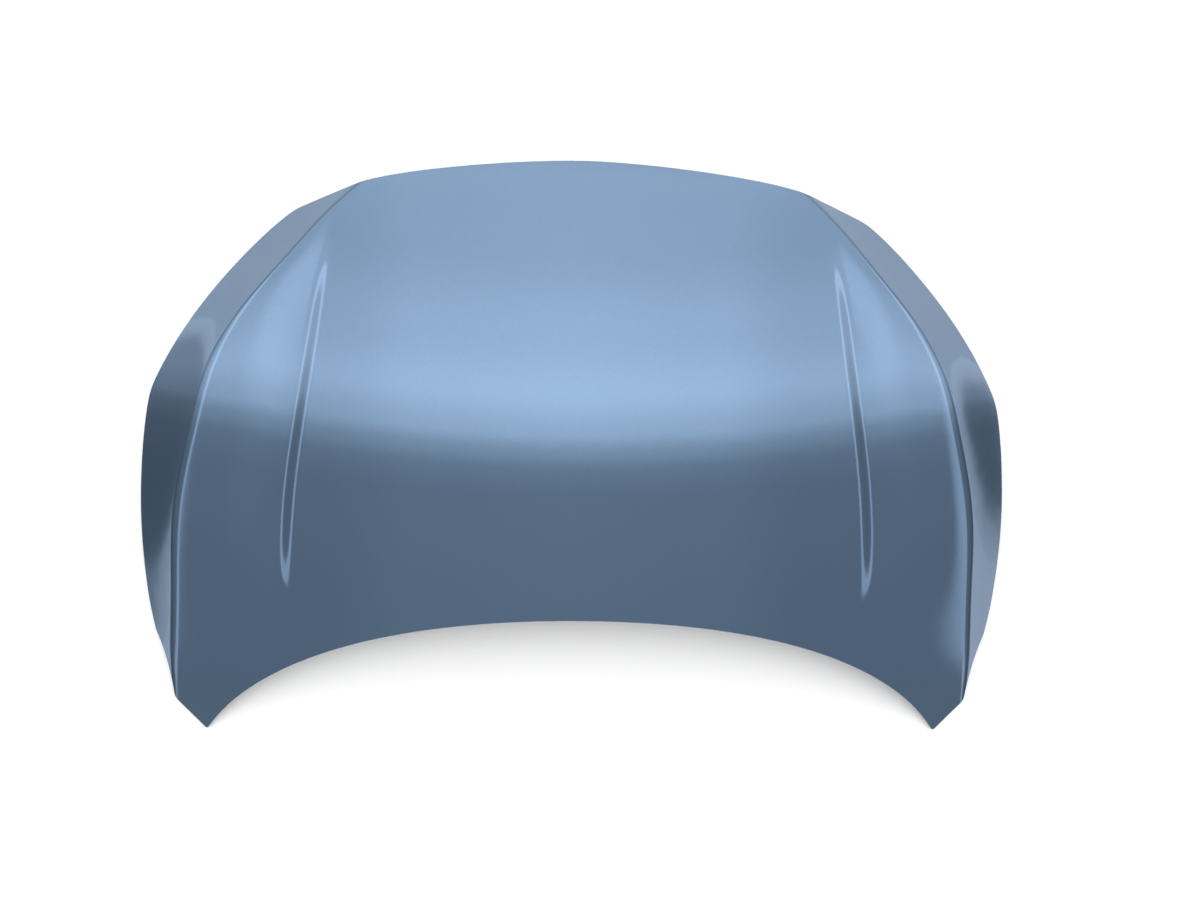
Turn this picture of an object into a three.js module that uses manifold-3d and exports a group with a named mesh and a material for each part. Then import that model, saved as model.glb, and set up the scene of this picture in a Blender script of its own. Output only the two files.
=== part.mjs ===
// A car bonnet, lying outer side up as it rests on its rear tips and lamp corners.
// A pressed outer skin is folded round the edge of a pressed inner frame, and the frame carries the
// hinge and striker reinforcements, the striker, the rubber buffers and the mastic under the skin.
// Millimetres. X points to the car's right, Y towards the nose and Z up.

import * as THREE from 'three';
import { mergeVertices } from 'three/addons/utils/BufferGeometryUtils.js';
import Module from 'manifold-3d';

const wasm = await Module();
wasm.setup();

// Plan of the panel. Half spans are measured from the centreline, setbacks back from the nose and
// forward distances ahead of the rear tips.
const PANEL_LENGTH = 991.5;
const NOSE_HALF_SPAN = 381;
const NOSE_SETBACK = 44;
const LAMP_KINK_HALF_SPAN = 494.6;
const LAMP_KINK_SETBACK = 86;
const LAMP_CORNER_HALF_SPAN = 740.3;
const LAMP_CORNER_SETBACK = 395.5;
const WING_BEND_HALF_SPAN = 739.5;
const WING_BEND_FORWARD = 206;
const HEEL_HALF_SPAN = 701;
const HEEL_FORWARD = 57;
const TIP_HALF_SPAN = 645.5;
const REAR_EDGE_FORWARD = 222;

// Handles of the outline's curves, each from the end that it belongs to.
const NOSE_HANDLES = [[92, 0], [-75, 25]];
const CHEEK_HANDLES = [[86, -61], [-54, 114]];
const WING_HANDLES = [[20.4, -69], [19, 94]];
const HEEL_HANDLES = [[0.6, -33], [3.5, 100]];
const REAR_HANDLES = [[-153, 212.5], [117, 0]];

// Styling lines from the nose corner to the rear, as a share of the way back and a bow outwards. The
// crease's bow is a share of the room between its chord and the lamp corner.
const RIDGE_END_HALF_SPAN = 441;
const RIDGE_END_FORWARD = 166;
const RIDGE_BOW = [[0.155, 20], [0.35, 30], [0.53, 39], [0.69, 44.5], [0.795, 43], [0.87, 36], [0.935, 18]];
const CREASE_BOW = [
  [0.057, 0.129], [0.136, 0.2725], [0.237, 0.446], [0.338, 0.532],
  [0.45, 0.5065], [0.596, 0.429], [0.765, 0.253],
];

// Crown of the panel and the forms pressed into it.
const CROWN_BEHIND_MIDDLE = 50;
const LENGTHWISE_RADIUS = 2000;
const REAR_CROSS_RADIUS = 2700;
const NOSE_CROSS_RADIUS = 2300;
const CROSS_BLEND_LENGTH = 446;
const NOSE_ROLL_LENGTH = 179;
const NOSE_ROLL_DROP = 21.6;
const RIDGE_STEP = 7;
const RIDGE_STEP_WIDTH = 34;
const SHOULDER_RISE = 15;
const RELIEF_NOSE_SETBACK = 53;
const RELIEF_NOSE_FADE = 240;
const RELIEF_REAR_FORWARD = 166;
const RELIEF_REAR_FADE = 260;
const FLANK_SLOPE = 0.335;
const FLANK_ROLL = 4.8;
const FLANK_ROLL_WIDTH = 40;
const CREASE_SOFTNESS = 9;
const TIP_DROOP = 11;
const TIP_DROOP_FORWARD = 166;
const TIP_DROOP_LENGTH = 180;
const TIP_DROOP_HALF_SPAN = 450;
const TIP_DROOP_WIDTH = 220;

// Sheet metal and the folded hem.
const SKIN_SHEET = 0.8;
const FRAME_SHEET = 0.8;
const SEAT_GAP = 0.3;
const HEM_LAP = 12;
const HEM_ROUND = 1.2;
const HEM_BAND = 15;
const HEM_DEPTH = 2 * SKIN_SHEET + FRAME_SHEET + 2 * SEAT_GAP;

// Inner frame. Depths are measured straight down from the outer face.
const FLANGE_INSET = 1.7;
const FLANGE_WIDTH = 11.5;
const CHANNEL_RAMP = 13;
const EDGE_CHANNEL_DEPTH = 9;
const CHANNEL_DEPTH = 24;
const LAND_DEPTH = 6.5;
const LAND_WIDTH = 16;
const LAND_RAMP = 14;
const OPENING_CORNER = 12;
const FRONT_MEMBER = 150;
const REAR_MEMBER = 112;
const MIDDLE_RIB = 88;
const LONG_RIB = 92;
const CENTRE_OPENING_REAR = 68;
const CENTRE_OPENING_NOSE = 40;
const INNER_OPENING_REAR = 132;
const INNER_OPENING_NOSE = 68;
const OUTER_OPENING_REAR = 131;
const OUTER_OPENING_NOSE = 78;

// Openings inside the creases, as corners inboard of the crease at shares of the way to their nose end.
const SIDE_OPENING = [[109, 0], [66, 0], [25, 0.48], [34, 0.79], [66, 1], [93, 0.95]];
const SIDE_OPENING_AHEAD_OF_HINGE = 135;
const SIDE_OPENING_AHEAD_OF_LAMP = 110;

// Hinge seats, inboard of the heel or the wing and ahead of the rear edge.
const HINGE_INBOARD = 69;
const HINGE_AHEAD = 105.5;
const HINGE_PAD_WIDTH = 42;
const HINGE_PAD_LENGTH = 96;
const HINGE_PAD_STAND = 2;
const HINGE_BOLT_SPACING = 60;
const HINGE_PLATE = 1.5;

// Striker seat, striker and its bolts.
const STRIKER_SETBACK = 79;
const STRIKER_PAD_WIDTH = 112;
const STRIKER_PAD_LENGTH = 56;
const STRIKER_PAD_DEPTH = 27;
const STRIKER_PLATE_WIDTH = 100;
const STRIKER_PLATE_LENGTH = 38;
const STRIKER_PLATE = 3;
const STRIKER_BACKING = 2;
const BACKING_MARGIN = 3;
const PLATE_CORNER = 6;
const STRIKER_BOLT_SPACING = 76;
const STRIKER_ROD = 8;
const STRIKER_LEG_SPACING = 28;
const STRIKER_DROP = 34;
const STRIKER_BEND = 9;

// Fasteners.
const BOLT_THREAD = 8;
const BOLT_HEAD_WIDTH = 13;
const BOLT_HEAD_HEIGHT = 6;
const BOLT_FLANGE = 18;
const BOLT_FLANGE_HEIGHT = 2;
const BOLT_END = 2;
const THREAD_CLEARANCE = 0.4;
const BOLT_HOLE_CLEARANCE = 1.2;
const NUT_HEIGHT = 6.5;
const NUT_WIDTH = 14;
const JOIN_OVERLAP = 0.5;

// Rubber buffers in their pressed seats.
const BUFFER_SEAT_RADIUS = 16;
const BUFFER_SEAT_STAND = 2;
const SEAT_RAMP = 7;
const BUFFER_HOLE = 6;
const BUFFER_RADIUS = 12.5;
const BUFFER_HEIGHT = 14;
const BUFFER_CHAMFER = 2;
const BUFFER_STEM_CLEARANCE = 0.6;
const BUFFER_BARB = 7.8;
const BUFFER_BARB_HEIGHT = 6;
const BUFFER_BARB_TAPER = 1;
const NOSE_BUFFER_HALF_SPAN = 300;
const NOSE_BUFFER_SETBACK = 69;
const SIDE_BUFFER_OUTBOARD = 12.5;
const SIDE_BUFFER_AHEAD = 100;

// Mastic between the lands and the skin.
const MASTIC_LENGTH = 26;
const MASTIC_WIDTH = 11;
const MASTIC_TOP_GAP = 0.9;

// Fineness of the faceted surfaces.
const EDGE_STEP = 48;
const LEAST_STEPS = 4;
const FACE_STEP = 66;
const LINE_STEP = 32;
const CREASE_STEP = 24;
const CREASE_ROW_SHIFT = 14.4;
const CREASE_CLEARANCE = 3;
const FACE_CLEARANCE = 22;
const FACE_LINE_CLEARANCE = 27.5;
const ARC_STEPS = 2;
const EDGE_SAMPLES = 24;
const ROUND_SIDES = 12;
const STRIKER_ROD_STEPS = 20;
const SLOPE_REACH = 0.5;

const PAINT = new THREE.MeshStandardMaterial({ color: 0x566b81, roughness: 0.2, metalness: 0.45 });
const PRIMED = new THREE.MeshStandardMaterial({ color: 0x50637a, roughness: 0.45, metalness: 0.25 });
const BARE_STEEL = new THREE.MeshStandardMaterial({ color: 0x8e9194, roughness: 0.4, metalness: 0.9 });
const ZINC = new THREE.MeshStandardMaterial({ color: 0xb9bcc0, roughness: 0.3, metalness: 1 });
const RUBBER = new THREE.MeshStandardMaterial({ color: 0x1b1c1e, roughness: 0.85, metalness: 0 });
const MASTIC = new THREE.MeshStandardMaterial({ color: 0xa9a79c, roughness: 0.9, metalness: 0 });

const NOSE_Y = PANEL_LENGTH / 2;
const TIP_Y = -PANEL_LENGTH / 2;
const plan = (x, y) => new THREE.Vector2(x, y);

// Plan corners of the right half.
const NOSE = plan(0, NOSE_Y);
const NOSE_CORNER = plan(NOSE_HALF_SPAN, NOSE_Y - NOSE_SETBACK);
const LAMP_KINK = plan(LAMP_KINK_HALF_SPAN, NOSE_Y - LAMP_KINK_SETBACK);
const LAMP_CORNER = plan(LAMP_CORNER_HALF_SPAN, NOSE_Y - LAMP_CORNER_SETBACK);
const WING_BEND = plan(WING_BEND_HALF_SPAN, TIP_Y + WING_BEND_FORWARD);
const HEEL = plan(HEEL_HALF_SPAN, TIP_Y + HEEL_FORWARD);
const TIP = plan(TIP_HALF_SPAN, TIP_Y);
const REAR_MIDDLE = plan(0, TIP_Y + REAR_EDGE_FORWARD);
const RIDGE_END = plan(RIDGE_END_HALF_SPAN, TIP_Y + RIDGE_END_FORWARD);

// Surface of the outer face.

function smooth(share) {
  const t = THREE.MathUtils.clamp(share, 0, 1);
  return t * t * t * (t * (6 * t - 15) + 10);
}

// Natural cubic spline through [at, value] knots, carried on straight past its ends.
function naturalSpline(knots) {
  const count = knots.length;
  const bend = new Array(count).fill(0);
  const carry = new Array(count).fill(0);
  for (let i = 1; i < count - 1; i += 1) {
    const before = knots[i][0] - knots[i - 1][0];
    const after = knots[i + 1][0] - knots[i][0];
    const jump = (knots[i + 1][1] - knots[i][1]) / after - (knots[i][1] - knots[i - 1][1]) / before;
    const pivot = 2 * (before + after) - before * carry[i - 1];
    carry[i] = after / pivot;
    bend[i] = (6 * jump - before * bend[i - 1]) / pivot;
  }
  for (let i = count - 2; i > 0; i -= 1) {
    bend[i] -= carry[i] * bend[i + 1];
  }
  return (at) => {
    let i = 0;
    while (i < count - 2 && at > knots[i + 1][0]) {
      i += 1;
    }
    const width = knots[i + 1][0] - knots[i][0];
    const held = THREE.MathUtils.clamp(at, knots[0][0], knots[count - 1][0]);
    const far = (held - knots[i][0]) / width;
    const near = 1 - far;
    const value = near * knots[i][1] + far * knots[i + 1][1]
      + ((near ** 3 - near) * bend[i] + (far ** 3 - far) * bend[i + 1]) * width * width / 6;
    const slope = (knots[i + 1][1] - knots[i][1]) / width
      + ((1 - 3 * near * near) * bend[i] + (3 * far * far - 1) * bend[i + 1]) * width / 6;
    return value + (at - held) * slope;
  };
}

// A styling line as half span against Y: the chord between its ends plus the bow.
function stylingLine(start, end, bows) {
  const bow = naturalSpline([[0, 0], ...bows, [1, 0]]);
  return (y) => {
    const share = (start.y - y) / (start.y - end.y);
    return start.x + (end.x - start.x) * share + bow(share);
  };
}

const ridgeAt = stylingLine(NOSE_CORNER, RIDGE_END, RIDGE_BOW);
const chordAt = stylingLine(NOSE_CORNER, HEEL, []);
const creaseRoom = LAMP_CORNER.x - chordAt(LAMP_CORNER.y);
const creaseAt = stylingLine(NOSE_CORNER, HEEL, CREASE_BOW.map(([at, share]) => [at, share * creaseRoom]));

// Height of the outer face over the plan, measured from its crown.
function heightAt(x, y) {
  const across = Math.abs(x);
  const fromCrown = y + CROWN_BEHIND_MIDDLE;
  const towardsNose = smooth((y - NOSE_Y) / CROSS_BLEND_LENGTH + 1);
  const crossBend = (1 - towardsNose) / REAR_CROSS_RADIUS + towardsNose / NOSE_CROSS_RADIUS;
  let height = -fromCrown * fromCrown / (2 * LENGTHWISE_RADIUS) - across * across * crossBend / 2;

  const roll = Math.max(0, (y - NOSE_Y) / NOSE_ROLL_LENGTH + 1);
  height -= NOSE_ROLL_DROP * roll ** 3;

  const relief = smooth((NOSE_Y - RELIEF_NOSE_SETBACK - y) / RELIEF_NOSE_FADE)
    * smooth((y - TIP_Y - RELIEF_REAR_FORWARD) / RELIEF_REAR_FADE);
  const pastRidge = across - ridgeAt(y);
  const shoulder = Math.max(1, creaseAt(y) - ridgeAt(y));
  height -= RIDGE_STEP * relief * smooth(pastRidge / RIDGE_STEP_WIDTH);
  height += SHOULDER_RISE * relief * smooth(Math.max(0, pastRidge) / shoulder);

  const pastCrease = across - creaseAt(y);
  let flank = Math.max(0, pastCrease);
  if (Math.abs(pastCrease) < CREASE_SOFTNESS) {
    flank = (pastCrease + CREASE_SOFTNESS) ** 2 / (4 * CREASE_SOFTNESS);
  }
  height -= FLANK_SLOPE * flank + FLANK_ROLL * (1 - Math.exp(-flank / FLANK_ROLL_WIDTH));

  height -= TIP_DROOP * smooth((TIP_Y + TIP_DROOP_FORWARD - y) / TIP_DROOP_LENGTH)
    * smooth((across - TIP_DROOP_HALF_SPAN) / TIP_DROOP_WIDTH);
  return height;
}

function normalAt(x, y) {
  const alongX = (heightAt(x + SLOPE_REACH, y) - heightAt(x - SLOPE_REACH, y)) / (2 * SLOPE_REACH);
  const alongY = (heightAt(x, y + SLOPE_REACH) - heightAt(x, y - SLOPE_REACH)) / (2 * SLOPE_REACH);
  return new THREE.Vector3(-alongX, -alongY, 1).normalize();
}

// A point of the skin, set in from the outer face along its normal.
function skinPoint(at, depth) {
  const point = new THREE.Vector3(at.x, at.y, heightAt(at.x, at.y));
  return point.addScaledVector(normalAt(at.x, at.y), -depth);
}

// A point straight below the outer face.
function framePoint(at, depth) {
  return new THREE.Vector3(at.x, at.y, heightAt(at.x, at.y) - depth);
}

// Outline of the panel.

const beside = (corner, dx, dy) => plan(corner.x + dx, corner.y + dy);

function curveBetween(start, end, [startHandle, endHandle]) {
  return new THREE.CubicBezierCurve(start, beside(start, ...startHandle), beside(end, ...endHandle), end);
}

const noseEdge = curveBetween(NOSE, NOSE_CORNER, NOSE_HANDLES);
const lampEdge = new THREE.LineCurve(NOSE_CORNER, LAMP_KINK);
const cheekEdge = curveBetween(LAMP_KINK, LAMP_CORNER, CHEEK_HANDLES);
const wingEdge = curveBetween(LAMP_CORNER, WING_BEND, WING_HANDLES);
const heelEdge = curveBetween(WING_BEND, HEEL, HEEL_HANDLES);
const tipEdge = new THREE.LineCurve(HEEL, TIP);
const rearEdge = curveBetween(TIP, REAR_MIDDLE, REAR_HANDLES);

const mirrored = (point) => plan(-point.x, point.y);

// The whole outline, clockwise from above: right side from the nose back, then the left side forward.
function outlinePoints() {
  const right = [NOSE];
  for (const curve of [noseEdge, lampEdge, cheekEdge, wingEdge, heelEdge, tipEdge, rearEdge]) {
    const steps = curve === tipEdge ? 1 : Math.max(LEAST_STEPS, Math.round(curve.getLength() / EDGE_STEP));
    right.push(...curve.getSpacedPoints(steps).slice(1));
  }
  right[right.length - 1].x = 0;
  const left = right.slice(1, -1).reverse().map(mirrored);
  return [...right, ...left];
}

// Mitred direction at each point of a closed loop, to its right side, for offsets of one unit.
function insetDirections(loop) {
  return loop.map((point, i) => {
    const before = loop[(i + loop.length - 1) % loop.length];
    const after = loop[(i + 1) % loop.length];
    const first = plan(point.y - before.y, before.x - point.x).normalize();
    const second = plan(after.y - point.y, point.x - after.x).normalize();
    return first.clone().add(second).divideScalar(1 + first.dot(second));
  });
}

const offsetLoop = (loop, distance) => {
  const directions = insetDirections(loop);
  return loop.map((point, i) => point.clone().addScaledVector(directions[i], distance));
};

const outline = outlinePoints();
const bandInner = offsetLoop(outline, HEM_BAND);

// A point of the straight-ruled band round the edge, from its inset and its depth along the normal.
function bandPoint(i, inset, depth) {
  const share = inset / HEM_BAND;
  const normal = normalAt(outline[i].x, outline[i].y).lerp(normalAt(bandInner[i].x, bandInner[i].y), share);
  const point = skinPoint(outline[i], 0).lerp(skinPoint(bandInner[i], 0), share);
  return point.addScaledVector(normal.normalize(), -depth);
}

// Plan triangles and closed sheets.

const cross = (a, b, c) => (b.x - a.x) * (c.y - a.y) - (b.y - a.y) * (c.x - a.x);

function angleAt(corner, a, b) {
  const first = plan(a.x - corner.x, a.y - corner.y);
  const second = plan(b.x - corner.x, b.y - corner.y);
  return Math.acos(THREE.MathUtils.clamp(first.dot(second) / (first.length() * second.length()), -1, 1));
}

// The pairs of triangles that share an edge, as [first, its corner, second, its corner].
function sharedEdges(triangles) {
  const open = new Map();
  const pairs = [];
  triangles.forEach((triangle, n) => {
    for (let k = 0; k < 3; k += 1) {
      const from = triangle[(k + 1) % 3];
      const to = triangle[(k + 2) % 3];
      const other = open.get(`${to}_${from}`);
      if (other) {
        pairs.push([n, k, ...other]);
        open.delete(`${to}_${from}`);
      } else {
        open.set(`${from}_${to}`, [n, k]);
      }
    }
  });
  return { pairs, open };
}

// Turns the shared edge wherever the other diagonal gives better shaped triangles.
function turnEdges(points, triangles) {
  let turned = true;
  while (turned) {
    turned = false;
    const touched = new Set();
    for (const [n, k, m, l] of sharedEdges(triangles).pairs) {
      if (touched.has(n) || touched.has(m)) {
        continue;
      }
      const top = triangles[n][k];
      const from = triangles[n][(k + 1) % 3];
      const to = triangles[n][(k + 2) % 3];
      const bottom = triangles[m][l];
      const sum = angleAt(points[top], points[from], points[to])
        + angleAt(points[bottom], points[from], points[to]);
      if (sum > Math.PI + 1e-7) {
        triangles[n] = [top, from, bottom];
        triangles[m] = [bottom, to, top];
        touched.add(n).add(m);
        turned = true;
      }
    }
  }
}

// Whether a point lies on the straight line between two others.
function liesBetween(point, a, b) {
  const length = a.distanceTo(b);
  const along = point.clone().sub(a).dot(b.clone().sub(a)) / length;
  return Math.abs(cross(a, b, point)) / length < 1e-6 && along > 0 && along < length;
}

// Splits the triangle on whose side the point lies. The ear cut passes over points on straight edges.
function splitSide(points, triangles, i) {
  for (let n = 0; n < triangles.length; n += 1) {
    for (let k = 0; k < 3; k += 1) {
      const [top, from, to] = [triangles[n][k], triangles[n][(k + 1) % 3], triangles[n][(k + 2) % 3]];
      if (liesBetween(points[i], points[from], points[to])) {
        triangles[n] = [top, from, i];
        triangles.push([top, i, to]);
        return;
      }
    }
  }
}

// Triangles over a plan region with holes, through every given inner point, counter-clockwise.
function fillRegion(border, holes, inner) {
  const points = [...border, ...holes.flat(), ...inner];
  const triangles = THREE.ShapeUtils.triangulateShape([...border], holes.map((hole) => [...hole]));
  const doubleArea = triangles.reduce((sum, [a, b, c]) => sum + cross(points[a], points[b], points[c]), 0);
  if (doubleArea < 0) {
    triangles.forEach((triangle) => triangle.reverse());
  }
  const reached = new Set(triangles.flat());
  for (let i = 0; i < points.length - inner.length; i += 1) {
    if (!reached.has(i)) {
      splitSide(points, triangles, i);
    }
  }
  for (let i = points.length - inner.length; i < points.length; i += 1) {
    const home = triangles.findIndex(([a, b, c]) => cross(points[a], points[b], points[i]) > 0
      && cross(points[b], points[c], points[i]) > 0 && cross(points[c], points[a], points[i]) > 0);
    if (home >= 0) {
      const [a, b, c] = triangles[home];
      triangles[home] = [a, b, i];
      triangles.push([b, c, i], [c, a, i]);
    }
  }
  turnEdges(points, triangles);
  return triangles;
}

// A sheet under construction: matching upper and lower points and the triangles over the upper ones.
class Sheet {
  constructor() {
    this.upper = [];
    this.lower = [];
    this.triangles = [];
  }

  addLoop(upper, lower) {
    const first = this.upper.length;
    this.upper.push(...upper);
    this.lower.push(...lower);
    return upper.map((_, i) => first + i);
  }

  // A strip between two loops of equal count; the second lies to the left of the first. Each panel is
  // cut along its higher diagonal, so that layers above one another are cut the same way.
  addStrip(first, second) {
    first.forEach((_, i) => {
      const next = (i + 1) % first.length;
      const [a, b, c, d] = [first[i], first[next], second[next], second[i]];
      const rise = this.upper[b].z + this.upper[d].z - this.upper[a].z - this.upper[c].z;
      this.triangles.push(...(rise > 0 ? [[a, b, d], [b, c, d]] : [[a, b, c], [a, c, d]]));
    });
  }

  addRegion(border, holes, inner) {
    const all = [...border, ...holes.flat(), ...inner];
    const flat = (ids) => ids.map((id) => plan(this.upper[id].x, this.upper[id].y));
    for (const [a, b, c] of fillRegion(flat(border), holes.map(flat), flat(inner))) {
      this.triangles.push([all[a], all[b], all[c]]);
    }
  }

  // Closes the sheet with its lower face and a strip along every free edge.
  geometry() {
    const corners = [];
    for (const [a, b, c] of this.triangles) {
      corners.push(this.upper[a], this.upper[b], this.upper[c], this.lower[a], this.lower[c], this.lower[b]);
    }
    for (const [n, k] of sharedEdges(this.triangles).open.values()) {
      const from = this.triangles[n][(k + 1) % 3];
      const to = this.triangles[n][(k + 2) % 3];
      corners.push(this.upper[to], this.upper[from], this.lower[from]);
      corners.push(this.upper[to], this.lower[from], this.lower[to]);
    }
    const geometry = mergeVertices(new THREE.BufferGeometry().setFromPoints(corners));
    geometry.computeVertexNormals();
    return geometry;
  }
}

// Outer skin.

function insideLoop(loop, point) {
  let inside = false;
  loop.forEach((a, i) => {
    const b = loop[(i + 1) % loop.length];
    const crosses = (a.y > point.y) !== (b.y > point.y);
    if (crosses && point.x < a.x + (b.x - a.x) * (point.y - a.y) / (b.y - a.y)) {
      inside = !inside;
    }
  });
  return inside;
}

function distanceToLoop(loop, point) {
  const foot = new THREE.Vector3();
  const here = new THREE.Vector3(point.x, point.y, 0);
  const side = new THREE.Line3();
  let nearest = Infinity;
  loop.forEach((a, i) => {
    const b = loop[(i + 1) % loop.length];
    side.set(new THREE.Vector3(a.x, a.y, 0), new THREE.Vector3(b.x, b.y, 0));
    side.closestPointToPoint(here, true, foot);
    nearest = Math.min(nearest, foot.distanceTo(here));
  });
  return nearest;
}

// Points along the ridge and the crease first, then a staggered field between them, on both halves.
function skinInnerPoints() {
  const chosen = [];
  const add = (point, edgeClearance, clearance) => {
    const clear = insideLoop(bandInner, point) && distanceToLoop(bandInner, point) > edgeClearance
      && chosen.every((other) => other.distanceTo(point) > clearance);
    if (clear) {
      chosen.push(point);
      if (point.x > 0) {
        chosen.push(mirrored(point));
      }
    }
  };
  for (let y = NOSE_Y; y > TIP_Y; y -= CREASE_STEP) {
    add(plan(creaseAt(y), y), CREASE_CLEARANCE, CREASE_SOFTNESS);
  }
  const lines = [
    { at: creaseAt, shift: -CREASE_ROW_SHIFT },
    { at: creaseAt, shift: CREASE_ROW_SHIFT },
    { at: ridgeAt, shift: 0 },
    { at: ridgeAt, shift: RIDGE_STEP_WIDTH / 2 },
    { at: ridgeAt, shift: RIDGE_STEP_WIDTH },
  ];
  for (const { at, shift } of lines) {
    for (let y = NOSE_Y; y > TIP_Y; y -= LINE_STEP) {
      add(plan(at(y) + shift, y), CREASE_SOFTNESS, CREASE_SOFTNESS);
    }
  }
  const rowHeight = FACE_STEP * Math.sqrt(3) / 2;
  let row = 0;
  for (let y = NOSE_Y - HEM_BAND; y > TIP_Y; y -= rowHeight) {
    const start = row % 2 === 0 ? 0 : FACE_STEP / 2;
    for (let x = start; x < LAMP_CORNER_HALF_SPAN; x += FACE_STEP) {
      add(plan(x, y), FACE_CLEARANCE, FACE_LINE_CLEARANCE);
    }
    row += 1;
  }
  return chosen;
}

function makeOuterSkin() {
  const sheet = new Sheet();
  const ring = (inset, depth, underInset, underDepth) => sheet.addLoop(
    outline.map((_, i) => bandPoint(i, inset, depth)),
    outline.map((_, i) => bandPoint(i, underInset, underDepth)),
  ).reverse();
  const lapEnd = ring(HEM_LAP, HEM_DEPTH, HEM_LAP, HEM_DEPTH - SKIN_SHEET);
  const lapBend = ring(HEM_ROUND, HEM_DEPTH, SKIN_SHEET, HEM_DEPTH - SKIN_SHEET);
  const edge = ring(0, HEM_DEPTH / 2, SKIN_SHEET, HEM_DEPTH / 2);
  const faceBend = ring(HEM_ROUND, 0, SKIN_SHEET, SKIN_SHEET);
  const band = ring(HEM_BAND, 0, HEM_BAND, SKIN_SHEET);
  sheet.addStrip(lapEnd, lapBend);
  sheet.addStrip(lapBend, edge);
  sheet.addStrip(edge, faceBend);
  sheet.addStrip(faceBend, band);
  const inner = skinInnerPoints();
  const field = sheet.addLoop(
    inner.map((at) => skinPoint(at, 0)),
    inner.map((at) => skinPoint(at, SKIN_SHEET)),
  );
  sheet.addRegion(band, [], field);
  return sheet.geometry();
}

// Inner frame.

// A loop with rounded corners, counter-clockwise, its straight sides in steps.
function roundedLoop(corners, radius) {
  const loop = [];
  corners.forEach((corner, i) => {
    const before = corners[(i + corners.length - 1) % corners.length];
    const after = corners[(i + 1) % corners.length];
    const inward = before.clone().sub(corner).normalize();
    const outward = after.clone().sub(corner).normalize();
    const half = angleAt(corner, before, after) / 2;
    const cut = radius / Math.tan(half);
    const arc = new THREE.QuadraticBezierCurve(
      corner.clone().addScaledVector(inward, cut), corner, corner.clone().addScaledVector(outward, cut));
    if (loop.length > 0) {
      loop.push(...sideSteps(loop[loop.length - 1], arc.v0));
    }
    loop.push(...arc.getPoints(ARC_STEPS));
  });
  loop.push(...sideSteps(loop[loop.length - 1], loop[0]));
  return loop;
}

function sideSteps(from, to) {
  const steps = Math.max(1, Math.round(from.distanceTo(to) / EDGE_STEP));
  return new THREE.LineCurve(from, to).getPoints(steps).slice(1, -1);
}

// Y of the outline at a half span, between the given curves' points.
function edgeY(curves, x) {
  const points = curves.flatMap((curve) => curve.getPoints(EDGE_SAMPLES)).sort((a, b) => a.x - b.x);
  const found = points.findIndex((point) => point.x >= x);
  const next = found < 0 ? points.length - 1 : Math.max(1, found);
  const a = points[next - 1];
  const b = points[next];
  return a.y + (b.y - a.y) * (x - a.x) / Math.max(1e-6, b.x - a.x);
}

const noseY = (x) => edgeY([noseEdge, lampEdge, cheekEdge], x);
const rearY = (x) => edgeY([rearEdge], x) + REAR_MEMBER;
const frontY = (x) => noseY(x) - FRONT_MEMBER;

// One opening of a fanned column, in the row behind the middle rib or the row ahead of it.
function columnOpening(column, row) {
  const corner = (side, atNose) => {
    const span = (share) => column.rear[side] + (column.nose[side] - column.rear[side]) * share;
    const middle = (rearY(span(0.5)) + frontY(span(0.5))) / 2;
    if (row === 'rear') {
      return atNose ? plan(span(0.5), middle - MIDDLE_RIB / 2) : plan(span(0), rearY(Math.abs(span(0))));
    }
    return atNose ? plan(span(1), frontY(Math.abs(span(1)))) : plan(span(0.5), middle + MIDDLE_RIB / 2);
  };
  return [corner(0, false), corner(1, false), corner(1, true), corner(0, true)];
}

const innerStartRear = CENTRE_OPENING_REAR + LONG_RIB;
const innerStartNose = CENTRE_OPENING_NOSE + LONG_RIB;
const outerStartRear = innerStartRear + INNER_OPENING_REAR + LONG_RIB;
const outerStartNose = innerStartNose + INNER_OPENING_NOSE + LONG_RIB;

const columns = {
  inner: {
    rear: [innerStartRear, innerStartRear + INNER_OPENING_REAR],
    nose: [innerStartNose, innerStartNose + INNER_OPENING_NOSE],
  },
  outer: {
    rear: [outerStartRear, outerStartRear + OUTER_OPENING_REAR],
    nose: [outerStartNose, outerStartNose + OUTER_OPENING_NOSE],
  },
};

// The corners of a centre opening, as wide on both sides of the centreline.
function centreOpening(row) {
  const half = { rear: [0, CENTRE_OPENING_REAR], nose: [0, CENTRE_OPENING_NOSE] };
  const [, rearCorner, noseCorner] = columnOpening(half, row);
  return [mirrored(rearCorner), rearCorner, noseCorner, mirrored(noseCorner)];
}

const hingeX = Math.min(HEEL.x, WING_BEND.x) - HINGE_INBOARD;
const hingeY = edgeY([rearEdge], hingeX - HINGE_PAD_WIDTH / 2) + HINGE_AHEAD;

function sideOpening() {
  const rear = hingeY + SIDE_OPENING_AHEAD_OF_HINGE;
  const nose = LAMP_CORNER.y + SIDE_OPENING_AHEAD_OF_LAMP;
  return SIDE_OPENING.map(([inboard, share]) => {
    const y = rear + (nose - rear) * share;
    return plan(creaseAt(y) - inboard, y);
  });
}

// Every opening by name, counter-clockwise, its rear edge first.
function allOpenings() {
  const openings = {
    centre_rear: centreOpening('rear'),
    centre_nose: centreOpening('nose'),
  };
  const rightSide = {
    inner_rear: columnOpening(columns.inner, 'rear'),
    inner_nose: columnOpening(columns.inner, 'nose'),
    outer_rear: columnOpening(columns.outer, 'rear'),
    outer_nose: columnOpening(columns.outer, 'nose'),
    side: sideOpening(),
  };
  for (const [name, corners] of Object.entries(rightSide)) {
    openings[`${name}_right`] = corners;
    const [inboard, outboard, ...others] = corners.map(mirrored);
    openings[`${name}_left`] = [outboard, inboard, ...others.reverse()];
  }
  return openings;
}

const openings = allOpenings();

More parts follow.
